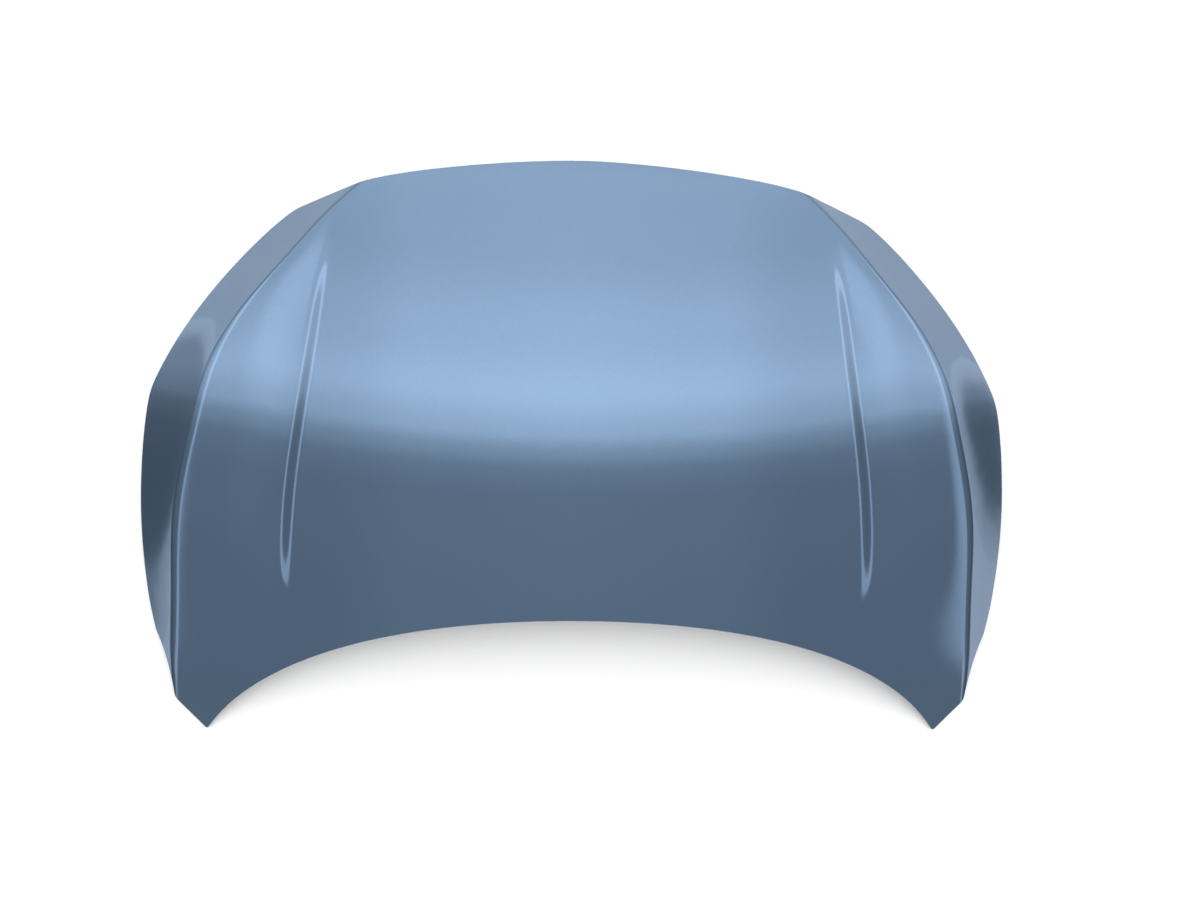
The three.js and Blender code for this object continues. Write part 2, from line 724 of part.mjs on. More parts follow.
// The frame of a seat: X across, Y towards the nose, Z out of its upper face.
function seatMatrix(at, depth, normal) {
  const forward = new THREE.Vector3(0, 1, 0).addScaledVector(normal, -normal.y).normalize();
  const sideways = new THREE.Vector3().crossVectors(forward, normal);
  const matrix = new THREE.Matrix4().makeBasis(sideways, forward, normal);
  return matrix.setPosition(framePoint(at, depth));
}

const circleLoop = (x, y, radius) => Array.from({ length: ROUND_SIDES }, (_, i) => {
  const angle = 2 * Math.PI * (i + 0.5) / ROUND_SIDES;
  return plan(x + radius * Math.cos(angle), y + radius * Math.sin(angle));
});

function rectangleLoop(width, length, corner) {
  const corners = [[-1, -1], [1, -1], [1, 1], [-1, 1]].map(([i, j]) => plan(i * width / 2, j * length / 2));
  return roundedLoop(corners, corner);
}

const boltHole = BOLT_THREAD / 2 + BOLT_HOLE_CLEARANCE;

// Flat pressed seats: each has its frame, its outline and its holes in that frame.
function allSeats() {
  const hingeHoles = [-1, 1].map((end) => circleLoop(0, end * HINGE_BOLT_SPACING / 2, boltHole));
  const hingeDepth = CHANNEL_DEPTH + HINGE_PAD_STAND;
  const bufferDepth = CHANNEL_DEPTH + BUFFER_SEAT_STAND;
  const bufferHole = circleLoop(0, 0, BUFFER_HOLE);
  const hingeSeat = (side) => {
    const at = plan(side * hingeX, hingeY);
    return {
      matrix: seatMatrix(at, hingeDepth, normalAt(at.x, at.y)),
      border: rectangleLoop(HINGE_PAD_WIDTH, HINGE_PAD_LENGTH, SEAT_RAMP),
      holes: hingeHoles,
    };
  };
  const bufferSeat = (at) => ({
    matrix: seatMatrix(at, bufferDepth, normalAt(at.x, at.y)),
    border: circleLoop(0, 0, BUFFER_SEAT_RADIUS),
    holes: [bufferHole],
  });
  const noseBuffer = plan(NOSE_BUFFER_HALF_SPAN, noseY(NOSE_BUFFER_HALF_SPAN) - NOSE_BUFFER_SETBACK);
  const sideBufferY = LAMP_CORNER.y + SIDE_BUFFER_AHEAD;
  const sideBuffer = plan(creaseAt(sideBufferY) + SIDE_BUFFER_OUTBOARD, sideBufferY);
  return {
    hinge_left: hingeSeat(-1),
    hinge_right: hingeSeat(1),
    striker: {
      matrix: seatMatrix(plan(0, NOSE_Y - STRIKER_SETBACK), STRIKER_PAD_DEPTH, new THREE.Vector3(0, 0, 1)),
      border: rectangleLoop(STRIKER_PAD_WIDTH, STRIKER_PAD_LENGTH, SEAT_RAMP),
      holes: [-1, 1].map((side) => circleLoop(side * STRIKER_BOLT_SPACING / 2, 0, boltHole)),
    },
    buffer_nose_left: bufferSeat(mirrored(noseBuffer)),
    buffer_nose_right: bufferSeat(noseBuffer),
    buffer_side_left: bufferSeat(mirrored(sideBuffer)),
    buffer_side_right: bufferSeat(sideBuffer),
  };
}

const seats = allSeats();

// Adds a loop of plan points to the frame's sheet, straight below the outer face.
function addFrameLoop(sheet, loop, depth) {
  const upper = loop.map((at) => framePoint(at, depth));
  const lower = upper.map((point) => point.clone()
    .addScaledVector(normalAt(point.x, point.y), -FRAME_SHEET));
  return sheet.addLoop(upper, lower);
}

// Adds an opening with its raised land and returns the foot of the land's ramp.
function addOpening(sheet, corners) {
  const rim = roundedLoop(corners, OPENING_CORNER);
  const rimIds = addFrameLoop(sheet, rim, LAND_DEPTH);
  const landIds = addFrameLoop(sheet, offsetLoop(rim, LAND_WIDTH), LAND_DEPTH);
  const footIds = addFrameLoop(sheet, offsetLoop(rim, LAND_WIDTH + LAND_RAMP), CHANNEL_DEPTH);
  sheet.addStrip(footIds, landIds);
  sheet.addStrip(landIds, rimIds);
  return footIds;
}

// Adds a flat seat with its holes and returns the foot of its ramp on the channel floor.
function addSeat(sheet, seat) {
  const normal = new THREE.Vector3().setFromMatrixColumn(seat.matrix, 2);
  const lift = (at) => new THREE.Vector3(at.x, at.y, 0).applyMatrix4(seat.matrix);
  const addFlat = (loop) => {
    const upper = loop.map(lift);
    return sheet.addLoop(upper, upper.map((point) => point.clone().addScaledVector(normal, -FRAME_SHEET)));
  };
  const footLoop = offsetLoop(seat.border, SEAT_RAMP).map(lift);
  const footIds = addFrameLoop(sheet, footLoop, CHANNEL_DEPTH);
  const borderIds = addFlat(seat.border);
  sheet.addStrip(footIds, borderIds);
  sheet.addRegion(borderIds, seat.holes.map(addFlat), []);
  return footIds;
}

function makeInnerFrame() {
  const sheet = new Sheet();
  const upperDepth = SKIN_SHEET + SEAT_GAP;
  const flangeEnd = FLANGE_INSET + FLANGE_WIDTH;
  const flangeRing = (inset) => sheet.addLoop(
    outline.map((_, i) => bandPoint(i, inset, upperDepth)),
    outline.map((_, i) => bandPoint(i, inset, upperDepth + FRAME_SHEET)),
  ).reverse();
  const edge = flangeRing(FLANGE_INSET);
  const bend = flangeRing(flangeEnd);
  const footLoop = offsetLoop(outline, flangeEnd + CHANNEL_RAMP);
  const foot = addFrameLoop(sheet, footLoop, EDGE_CHANNEL_DEPTH).reverse();
  sheet.addStrip(edge, bend);
  sheet.addStrip(bend, foot);
  const holes = [
    ...Object.values(openings).map((corners) => addOpening(sheet, corners)),
    ...Object.values(seats).map((seat) => addSeat(sheet, seat)),
  ];
  sheet.addRegion(foot, holes, []);
  return sheet.geometry();
}

// Fittings.

function plateGeometry(width, length, thickness, holes) {
  const shape = new THREE.Shape(rectangleLoop(width, length, PLATE_CORNER));
  shape.holes = holes.map((hole) => new THREE.Path(hole));
  return new THREE.ExtrudeGeometry(shape, { depth: thickness, bevelEnabled: false });
}

const hexagon = (width) => Array.from({ length: 6 }, (_, i) => {
  const angle = Math.PI * i / 3;
  return plan(Math.cos(angle), Math.sin(angle)).multiplyScalar(width / Math.sqrt(3));
});

function nutGeometry() {
  const shape = new THREE.Shape(hexagon(NUT_WIDTH));
  shape.holes = [new THREE.Path(circleLoop(0, 0, BOLT_THREAD / 2 + THREAD_CLEARANCE))];
  return new THREE.ExtrudeGeometry(shape, { depth: NUT_HEIGHT, bevelEnabled: false });
}

function asManifold(geometry) {
  geometry.deleteAttribute('normal');
  geometry.deleteAttribute('uv');
  const merged = mergeVertices(geometry);
  return new wasm.Manifold(new wasm.Mesh({
    numProp: 3,
    vertProperties: merged.attributes.position.array,
    triVerts: Uint32Array.from(merged.index.array),
  }));
}

function asGeometry(manifold) {
  const mesh = manifold.getMesh();
  const geometry = new THREE.BufferGeometry();
  geometry.setAttribute('position', new THREE.BufferAttribute(mesh.vertProperties, 3));
  geometry.setIndex(new THREE.BufferAttribute(mesh.triVerts, 1));
  geometry.computeVertexNormals();
  return geometry;
}

// A flanged hexagon bolt; its seat is at Z = 0 and its head hangs below.
function boltGeometry(shankLength) {
  const shank = new THREE.CylinderGeometry(
    BOLT_THREAD / 2, BOLT_THREAD / 2, shankLength + JOIN_OVERLAP, ROUND_SIDES);
  shank.rotateX(Math.PI / 2).translate(0, 0, (shankLength - JOIN_OVERLAP) / 2);
  const flange = new THREE.CylinderGeometry(
    BOLT_FLANGE / 2, BOLT_FLANGE / 2, BOLT_FLANGE_HEIGHT, 2 * ROUND_SIDES);
  flange.rotateX(Math.PI / 2).translate(0, 0, -BOLT_FLANGE_HEIGHT / 2);
  const head = new THREE.ExtrudeGeometry(
    new THREE.Shape(hexagon(BOLT_HEAD_WIDTH)),
    { depth: BOLT_HEAD_HEIGHT + JOIN_OVERLAP, bevelEnabled: false });
  head.translate(0, 0, -BOLT_FLANGE_HEIGHT - BOLT_HEAD_HEIGHT);
  return asGeometry(asManifold(shank).add(asManifold(flange)).add(asManifold(head)));
}

// A U of round rod whose legs end at Z = 0 and whose bow hangs below.
function loopGeometry() {
  const leg = STRIKER_LEG_SPACING / 2;
  const bend = STRIKER_BEND - STRIKER_DROP;
  const [start, left, leftCorner, bottomLeft, bottomRight, rightCorner, right, end] = [
    [-leg, STRIKER_PLATE], [-leg, bend], [-leg, -STRIKER_DROP], [STRIKER_BEND - leg, -STRIKER_DROP],
    [leg - STRIKER_BEND, -STRIKER_DROP], [leg, -STRIKER_DROP], [leg, bend], [leg, STRIKER_PLATE],
  ].map(([x, z]) => new THREE.Vector3(x, 0, z));
  const path = new THREE.CurvePath();
  path.add(new THREE.LineCurve3(start, left));
  path.add(new THREE.QuadraticBezierCurve3(left, leftCorner, bottomLeft));
  path.add(new THREE.LineCurve3(bottomLeft, bottomRight));
  path.add(new THREE.QuadraticBezierCurve3(bottomRight, rightCorner, right));
  path.add(new THREE.LineCurve3(right, end));
  const section = new THREE.Shape(circleLoop(0, 0, STRIKER_ROD / 2));
  return new THREE.ExtrudeGeometry(section, {
    steps: STRIKER_ROD_STEPS, extrudePath: path, bevelEnabled: false,
  });
}

// A rubber buffer pushed through its seat: head below, barb above; Z = 0 is the seat's upper face.
function bufferGeometry() {
  const stem = BUFFER_HOLE - BUFFER_STEM_CLEARANCE;
  const below = -FRAME_SHEET - SEAT_GAP;
  const profile = [
    [0, below - BUFFER_HEIGHT],
    [BUFFER_RADIUS - BUFFER_CHAMFER, below - BUFFER_HEIGHT],
    [BUFFER_RADIUS, below - BUFFER_HEIGHT + BUFFER_CHAMFER],
    [BUFFER_RADIUS, below],
    [stem, below],
    [stem, SEAT_GAP],
    [BUFFER_BARB, SEAT_GAP],
    [stem - BUFFER_BARB_TAPER, SEAT_GAP + BUFFER_BARB_HEIGHT],
    [0, SEAT_GAP + BUFFER_BARB_HEIGHT],
  ].map(([radius, height]) => plan(radius, height));
  return new THREE.LatheGeometry(profile, ROUND_SIDES).rotateX(Math.PI / 2);
}

// Assembly.

const bonnet = new THREE.Group();

function addPart(name, geometry, material, matrix, shift) {
  const mesh = new THREE.Mesh(geometry, material);
  mesh.name = name;
  if (matrix) {
    mesh.applyMatrix4(new THREE.Matrix4().makeTranslation(shift.x, shift.y, shift.z).premultiply(matrix));
  }
  bonnet.add(mesh);
}

const at = (x, y, z) => new THREE.Vector3(x, y, z);

addPart('outer_skin', makeOuterSkin(), PAINT);
addPart('inner_frame', makeInnerFrame(), PRIMED);

for (const side of ['left', 'right']) {
  const matrix = seats[`hinge_${side}`].matrix;
  const holes = [-1, 1].map((end) => circleLoop(0, end * HINGE_BOLT_SPACING / 2, boltHole));
  const plate = plateGeometry(
    HINGE_PAD_WIDTH - 2 * BACKING_MARGIN, HINGE_PAD_LENGTH - 2 * BACKING_MARGIN, HINGE_PLATE, holes);
  addPart(`hinge_reinforcement_${side}`, plate, BARE_STEEL, matrix, at(0, 0, SEAT_GAP));
  for (const [end, name] of [[-1, 'rear'], [1, 'nose']]) {
    const seat = at(0, end * HINGE_BOLT_SPACING / 2, 2 * SEAT_GAP + HINGE_PLATE);
    addPart(`hinge_nut_${side}_${name}`, nutGeometry(), ZINC, matrix, seat);
  }
}

const strikerMatrix = seats.striker.matrix;
const strikerBoltHoles = [-1, 1].map((side) => circleLoop(side * STRIKER_BOLT_SPACING / 2, 0, boltHole));
const strikerLegHoles = [-1, 1].map((side) => circleLoop(
  side * STRIKER_LEG_SPACING / 2, 0, STRIKER_ROD / 2 + THREAD_CLEARANCE));
const strikerPlateTop = -FRAME_SHEET - SEAT_GAP;
const strikerPlateBottom = strikerPlateTop - STRIKER_PLATE;
const backing = plateGeometry(
  STRIKER_PAD_WIDTH - 2 * BACKING_MARGIN, STRIKER_PAD_LENGTH - 2 * BACKING_MARGIN, STRIKER_BACKING,
  strikerBoltHoles);
const strikerPlate = plateGeometry(
  STRIKER_PLATE_WIDTH, STRIKER_PLATE_LENGTH, STRIKER_PLATE, [...strikerBoltHoles, ...strikerLegHoles]);
const boltShank = STRIKER_PLATE + FRAME_SHEET + STRIKER_BACKING + NUT_HEIGHT + 4 * SEAT_GAP + BOLT_END;

addPart('striker_reinforcement', backing, BARE_STEEL, strikerMatrix, at(0, 0, SEAT_GAP));
addPart('striker_plate', strikerPlate, ZINC, strikerMatrix, at(0, 0, strikerPlateBottom));
addPart('striker_loop', loopGeometry(), ZINC, strikerMatrix, at(0, 0, strikerPlateBottom));
for (const [side, name] of [[-1, 'left'], [1, 'right']]) {
  const x = side * STRIKER_BOLT_SPACING / 2;
  const nutSeat = at(x, 0, 2 * SEAT_GAP + STRIKER_BACKING);
  addPart(`striker_nut_${name}`, nutGeometry(), ZINC, strikerMatrix, nutSeat);
  addPart(`striker_bolt_${name}`, boltGeometry(boltShank), ZINC, strikerMatrix,
    at(x, 0, strikerPlateBottom - SEAT_GAP));
}

for (const place of ['nose_left', 'nose_right', 'side_left', 'side_right']) {
  addPart(`buffer_${place}`, bufferGeometry(), RUBBER, seats[`buffer_${place}`].matrix, at(0, 0, 0));
}

// One pad of mastic on the land behind each opening.
for (const [name, corners] of Object.entries(openings)) {
  const [from, to] = corners;
  const across = to.clone().sub(from).normalize();
  const middle = from.clone().add(to).multiplyScalar(0.5);
  middle.add(plan(across.y, -across.x).multiplyScalar(LAND_WIDTH / 2));
  const normal = normalAt(middle.x, middle.y);
  const height = LAND_DEPTH * normal.z - SKIN_SHEET - SEAT_GAP - MASTIC_TOP_GAP;
  const matrix = seatMatrix(middle, LAND_DEPTH, normal);
  const box = new THREE.BoxGeometry(MASTIC_LENGTH, MASTIC_WIDTH, height);
  box.translate(0, 0, height / 2).rotateZ(Math.atan2(across.y, across.x));
  addPart(`mastic_${name}`, box, MASTIC, matrix, at(0, 0, SEAT_GAP));
}

// The origin is under the middle of the bonnet, on the surface that it rests on.
const extent = new THREE.Box3().setFromObject(bonnet, true);
bonnet.position.set(-(extent.min.x + extent.max.x) / 2, -(extent.min.y + extent.max.y) / 2, -extent.min.z);

export default bonnet;
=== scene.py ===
"""A car bonnet lying outer side up: its paint, pressed frame and fittings, on a pale studio floor."""

import math

import bmesh
import bpy
import numpy as np
from mathutils import Matrix, Vector
from mathutils.geometry import delaunay_2d_cdt


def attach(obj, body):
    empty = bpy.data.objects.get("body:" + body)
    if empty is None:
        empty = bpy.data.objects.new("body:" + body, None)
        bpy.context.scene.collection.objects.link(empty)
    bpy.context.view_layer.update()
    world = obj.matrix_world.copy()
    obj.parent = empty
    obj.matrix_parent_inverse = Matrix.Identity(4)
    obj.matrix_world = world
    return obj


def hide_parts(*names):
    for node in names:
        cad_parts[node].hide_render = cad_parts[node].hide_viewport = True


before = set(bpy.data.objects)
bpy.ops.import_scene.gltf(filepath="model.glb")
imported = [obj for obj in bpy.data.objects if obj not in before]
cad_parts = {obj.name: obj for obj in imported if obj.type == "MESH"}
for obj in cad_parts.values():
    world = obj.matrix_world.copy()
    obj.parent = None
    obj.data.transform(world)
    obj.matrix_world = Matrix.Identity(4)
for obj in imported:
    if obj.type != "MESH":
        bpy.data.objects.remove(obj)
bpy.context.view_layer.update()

# Millimetres, in the plan of the panel, become metres with its crown at this place.
MM = 0.001
CROWN_PLACE = np.array([0.0, 0.237, 142.381])

# Plan of the panel, as in the CAD model.
PANEL_LENGTH = 991.5
NOSE_Y = PANEL_LENGTH / 2
TIP_Y = -PANEL_LENGTH / 2
NOSE = np.array([0.0, NOSE_Y])
NOSE_CORNER = np.array([381.0, NOSE_Y - 44])
LAMP_KINK = np.array([494.6, NOSE_Y - 86])
LAMP_CORNER = np.array([740.3, NOSE_Y - 395.5])
WING_BEND = np.array([739.5, TIP_Y + 206])
HEEL = np.array([701.0, TIP_Y + 57])
TIP = np.array([645.5, TIP_Y])
REAR_MIDDLE = np.array([0.0, TIP_Y + 222])
RIDGE_END = np.array([441.0, TIP_Y + 166])

# How far the rounding of each corner reaches along the edge.
NOSE_CORNER_REACH = 9
LAMP_KINK_REACH = 14
LAMP_CORNER_REACH = 16
WING_BEND_REACH = 30
HEEL_REACH = 8
TIP_REACH = 6

# Styling lines: share of the way back from the nose corner, and bow outwards.
RIDGE_BOW = [
    (0, 0), (0.155, 20), (0.35, 30), (0.53, 39), (0.69, 44.5),
    (0.795, 43), (0.87, 36), (0.935, 18), (1, 0),
]
CREASE_BOW = [
    (0, 0), (0.057, 30.1), (0.136, 63.5), (0.237, 103.9), (0.338, 124),
    (0.45, 118), (0.596, 100), (0.765, 58.9), (1, 0),
]

# Crown of the panel and the forms pressed into it.
CROWN_BEHIND_MIDDLE = 50
LENGTHWISE_RADIUS = 2000
REAR_CROSS_RADIUS = 2700
NOSE_CROSS_RADIUS = 2300
CROSS_BLEND_LENGTH = 446
NOSE_ROLL_LENGTH = 179
NOSE_ROLL_DROP = 21.6
RIDGE_STEP = 7
RIDGE_STEP_WIDTH = 34
SHOULDER_RISE = 15
RELIEF_NOSE_SETBACK = 53
RELIEF_NOSE_FADE = 240
RELIEF_REAR_FORWARD = 166
RELIEF_REAR_FADE = 260
FLANK_SLOPE = 0.335
FLANK_ROLL = 4.8
FLANK_ROLL_WIDTH = 40
CREASE_SOFTNESS = 9
TIP_DROOP = 11
TIP_DROOP_FORWARD = 166
TIP_DROOP_LENGTH = 180
TIP_DROOP_HALF_SPAN = 450
TIP_DROOP_WIDTH = 220

# Sheet metal and the folded hem.
SHEET = 0.8
SEAT_GAP = 0.3
HEM_DEPTH = 3 * SHEET + 2 * SEAT_GAP
HEM_RADIUS = HEM_DEPTH / 2
HEM_LAP = 12

# Fineness of the smooth meshes.
CURVE_SAMPLES = 400
LINE_SAMPLES = 1000
FOLD_MARGIN = 0.05
SLIVER_AREA = 0.001
EDGE_STEP = 5
FACE_STEP = 8
LINE_SPACING = 5
SKIN_LEAST_SPACING = 2.6
SKIN_EDGE_CLEARANCE = 2
ROUND_STEPS = 8
CREASE_ROWS = [0, -3, 3, -6, 6, -9.5, 9.5, -15, 15]
RIDGE_ROWS = [0, 6, 12, 17, 22, 28, 34, -7, 41]


def smooth(share):
    t = np.clip(share, 0, 1)
    return t * t * t * (t * (6 * t - 15) + 10)


def natural_spline(knots):
    """A natural cubic spline through (at, value) knots, carried on straight past its ends."""
    at, value = np.array(knots, float).T
    width = np.diff(at)
    slope = np.diff(value) / width
    count = len(at)
    system = np.eye(count)
    load = np.zeros(count)
    for i in range(1, count - 1):
        system[i, i - 1:i + 2] = width[i - 1], 2 * (width[i - 1] + width[i]), width[i]
        load[i] = 6 * (slope[i] - slope[i - 1])
    bend = np.linalg.solve(system, load)

    def curve(x):
        held = np.clip(x, at[0], at[-1])
        i = np.clip(np.searchsorted(at, held, side="right") - 1, 0, count - 2)
        far = (held - at[i]) / width[i]
        near = 1 - far
        level = near * value[i] + far * value[i + 1]
        level += ((near**3 - near) * bend[i] + (far**3 - far) * bend[i + 1]) * width[i]**2 / 6
        tangent = slope[i] + ((1 - 3 * near**2) * bend[i] + (3 * far**2 - 1) * bend[i + 1]) * width[i] / 6
        return level + (x - held) * tangent

    return curve


def styling_line(start, end, bows):
    """A styling line as half span against Y."""
    bow = natural_spline(bows)

    def line(y):
        share = (start[1] - y) / (start[1] - end[1])
        return start[0] + (end[0] - start[0]) * share + bow(share)

    return line


ridge_at = styling_line(NOSE_CORNER, RIDGE_END, RIDGE_BOW)
crease_at = styling_line(NOSE_CORNER, HEEL, CREASE_BOW)


def height_at(x, y):
    """Height of the outer face over the plan, measured from its crown."""
    across = np.abs(x)
    from_crown = y + CROWN_BEHIND_MIDDLE
    towards_nose = smooth((y - NOSE_Y) / CROSS_BLEND_LENGTH + 1)
    cross_bend = (1 - towards_nose) / REAR_CROSS_RADIUS + towards_nose / NOSE_CROSS_RADIUS
    height = -from_crown**2 / (2 * LENGTHWISE_RADIUS) - across**2 * cross_bend / 2

    roll = np.maximum(0, (y - NOSE_Y) / NOSE_ROLL_LENGTH + 1)
    height -= NOSE_ROLL_DROP * roll**3

    relief = smooth((NOSE_Y - RELIEF_NOSE_SETBACK - y) / RELIEF_NOSE_FADE)
    relief = relief * smooth((y - TIP_Y - RELIEF_REAR_FORWARD) / RELIEF_REAR_FADE)
    past_ridge = across - ridge_at(y)
    shoulder = np.maximum(1, crease_at(y) - ridge_at(y))
    height -= RIDGE_STEP * relief * smooth(past_ridge / RIDGE_STEP_WIDTH)
    height += SHOULDER_RISE * relief * smooth(np.maximum(0, past_ridge) / shoulder)

    past_crease = across - crease_at(y)
    softened = (past_crease + CREASE_SOFTNESS)**2 / (4 * CREASE_SOFTNESS)
    flank = np.where(np.abs(past_crease) < CREASE_SOFTNESS, softened, np.maximum(0, past_crease))
    height -= FLANK_SLOPE * flank + FLANK_ROLL * (1 - np.exp(-flank / FLANK_ROLL_WIDTH))

    droop = smooth((TIP_Y + TIP_DROOP_FORWARD - y) / TIP_DROOP_LENGTH)
    return height - TIP_DROOP * droop * smooth((across - TIP_DROOP_HALF_SPAN) / TIP_DROOP_WIDTH)


def normals_of(surface, plan):
    """Upward unit normals of a height function at plan points."""
    reach = 0.25
    x, y = plan.T
    along_x = (surface(x + reach, y) - surface(x - reach, y)) / (2 * reach)
    along_y = (surface(x, y + reach) - surface(x, y - reach)) / (2 * reach)
    normals = np.stack([-along_x, -along_y, np.ones_like(along_x)], 1)
    return normals / np.linalg.norm(normals, axis=1, keepdims=True)


def skin_points(plan, depth=0.0):
    """Points of the skin, set in from its outer face along the normal."""
    points = np.column_stack([plan, height_at(plan[:, 0], plan[:, 1])])
    return points - normals_of(height_at, plan) * depth


# Plan curves.


def bezier(*corners):
    corners = np.array(corners, float)
    t = np.linspace(0, 1, CURVE_SAMPLES)[:, None]
    while len(corners) > 1:
        corners = [a + (b - a) * t for a, b in zip(corners[:-1], corners[1:])]
    return corners[0]


def straight(a, b):
    return np.array([a, b], float)


def resample(line, start, end, step):
    """Even steps along a line, from `start` past its beginning to `end` short of its end."""
    lengths = np.concatenate([[0], np.cumsum(np.linalg.norm(np.diff(line, axis=0), axis=1))])
    count = max(1, round((lengths[-1] - start - end) / step))
    wanted = np.linspace(start, lengths[-1] - end, count + 1)
    return np.column_stack([np.interp(wanted, lengths, line[:, k]) for k in range(line.shape[1])])


def beside(corner, dx, dy):
    return corner + np.array([dx, dy])


nose_edge = bezier(NOSE, beside(NOSE, 92, 0), beside(NOSE_CORNER, -75, 25), NOSE_CORNER)
lamp_edge = straight(NOSE_CORNER, LAMP_KINK)
cheek_edge = bezier(LAMP_KINK, beside(LAMP_KINK, 86, -61), beside(LAMP_CORNER, -54, 114), LAMP_CORNER)
wing_edge = bezier(LAMP_CORNER, beside(LAMP_CORNER, 20.4, -69), beside(WING_BEND, 19, 94), WING_BEND)
heel_edge = bezier(WING_BEND, beside(WING_BEND, 0.6, -33), beside(HEEL, 3.5, 100), HEEL)
tip_edge = straight(HEEL, TIP)
rear_edge = bezier(TIP, beside(TIP, -153, 212.5), beside(REAR_MIDDLE, 117, 0), REAR_MIDDLE)


def outline_loop():
    """The whole outline, clockwise from above: the right side from the nose back, then the left forward."""
    sides = [
        (nose_edge, NOSE_CORNER_REACH), (lamp_edge, LAMP_KINK_REACH), (cheek_edge, LAMP_CORNER_REACH),
        (wing_edge, WING_BEND_REACH), (heel_edge, HEEL_REACH), (tip_edge, TIP_REACH), (rear_edge, 0),
    ]
    right = []
    before = 0
    for i, (line, reach) in enumerate(sides):
        part = resample(line, before, reach, EDGE_STEP)
        right.extend(part if reach == 0 else part[:-1])
        if reach:
            onward = resample(sides[i + 1][0], reach, 0, EDGE_STEP)[0]
            corner = bezier(part[-1], line[-1], onward)
            right.extend(resample(corner, 0, 0, min(EDGE_STEP, reach / 3))[:-1])
        before = reach
    right = np.array(right)
    right[[0, -1], 0] = 0
    left = right[-2:0:-1] * [-1, 1]
    return np.concatenate([right, left])


def inset_directions(loop):
    """Mitred directions to the right side of a closed loop, for offsets of one unit."""
    before = loop - np.roll(loop, 1, axis=0)
    after = np.roll(loop, -1, axis=0) - loop
    first = np.stack([before[:, 1], -before[:, 0]], 1)
    second = np.stack([after[:, 1], -after[:, 0]], 1)
    first /= np.linalg.norm(first, axis=1, keepdims=True)
    second /= np.linalg.norm(second, axis=1, keepdims=True)
    return (first + second) / (1 + (first * second).sum(1, keepdims=True))


def by_chunks(work, points, size=4000):
    return np.concatenate([work(points[i:i + size]) for i in range(0, len(points), size)])


def inside(loop, points):
    """Which plan points lie inside a closed loop."""
    a, b = loop, np.roll(loop, -1, axis=0)
    rise = b[:, 1] - a[:, 1]
    lean = (b[:, 0] - a[:, 0]) / np.where(rise == 0, 1, rise)

    def work(some):
        x, y = some[:, :1], some[:, 1:]
        crossed = (a[:, 1] > y) != (b[:, 1] > y)
        return (crossed & (x < a[:, 0] + lean * (y - a[:, 1]))).sum(1) % 2 == 1

    return by_chunks(work, points)


def distance(loop, points):
    """Distance of plan points from a closed loop."""
    a, side = loop, np.roll(loop, -1, axis=0) - loop
    length = (side**2).sum(1)

    def work(some):
        dx = some[:, :1] - a[:, 0]
        dy = some[:, 1:] - a[:, 1]
        along = np.clip((dx * side[:, 0] + dy * side[:, 1]) / length, 0, 1)
        return np.sqrt(((dx - along * side[:, 0])**2 + (dy - along * side[:, 1])**2).min(1))

    return by_chunks(work, points)


def offset_loop(loop, away):
    """A loop moved to its right side, without the points that fold over at its corners."""
    moved = loop + inset_directions(loop) * away
    return moved[distance(loop, moved) > abs(away) - FOLD_MARGIN]


def even_loop(loop, step):
    """A closed loop's points again, in even steps."""
    return resample(np.vstack([loop, loop[:1]]), 0, 0, step)[:-1]


def fill(border, holes, field):
    """Counter-clockwise triangles over a plan region with holes, through every inner point."""
    loops = [border, *holes]
    points = np.concatenate([*loops, field])
    edges = []
    first = 0
    for loop in loops:
        edges += [(first + i, first + (i + 1) % len(loop)) for i in range(len(loop))]
        first += len(loop)
    found = delaunay_2d_cdt([Vector(p) for p in points], edges, [], 0, 1e-4)
    home = np.array([sources[0] for sources in found[3]])
    triangles = home[np.array(found[2])]
    a, b, c = points[triangles].transpose(1, 0, 2)
    double_area = (b - a)[:, 0] * (c - a)[:, 1] - (b - a)[:, 1] * (c - a)[:, 0]
    middle = (a + b + c) / 3
    kept = inside(border, middle) & (double_area > 2 * SLIVER_AREA)
    for hole in holes:
        kept &= ~inside(hole, middle)
    return triangles[kept]


class Sheet:
    """A mesh under construction, in millimetres from the crown."""

    def __init__(self):
        self.points = []
        self.faces = []
        self.normals = []
        self.count = 0

    def add(self, points, normals=None):
        """Adds points; where normals are given, faces made of such points are shaded by them."""
        self.points.append(points)
        self.normals.append(np.zeros_like(points) if normals is None else normals)
        ids = np.arange(self.count, self.count + len(points))
        self.count += len(points)
        return ids

    def strip(self, first, second):
        """Joins two closed loops of equal count by quads; the second lies to the left of the first."""
        self.faces += np.stack([first, np.roll(first, -1), np.roll(second, -1), second], 1).tolist()

    def build(self, name, material):
        points = (np.concatenate(self.points) + CROWN_PLACE) * MM
        mesh = bpy.data.meshes.new(name)
        mesh.from_pydata(points.tolist(), [], self.faces)
        mesh.shade_smooth()
        given = np.concatenate(self.normals)
        if given.any():
            corners = np.zeros(len(mesh.loops), int)
            mesh.loops.foreach_get("vertex_index", corners)
            chosen = given[corners]
            mesh.normals_split_custom_set(chosen.tolist())
        mesh.materials.append(material)
        piece = bpy.data.objects.new(name, mesh)
        bpy.context.scene.collection.objects.link(piece)
        return piece


def hex_field(loop, step, clearance):
    """A staggered field of plan points inside a loop, clear of its edge."""
    low, high = loop.min(0), loop.max(0)
    rows = np.arange(low[1], high[1], step * math.sqrt(3) / 2)
    across = np.arange(0, high[0], step)
    field = []
    for n, y in enumerate(rows):
        x = across + (n % 2) * step / 2
        field.append(np.stack([np.concatenate([-x[x > 0][::-1], x]), np.full(len(x) + (x > 0).sum(), y)], 1))
    field = np.concatenate(field)
    field = field[inside(loop, field)]
    return field[distance(loop, field) > clearance]


outline = outline_loop()


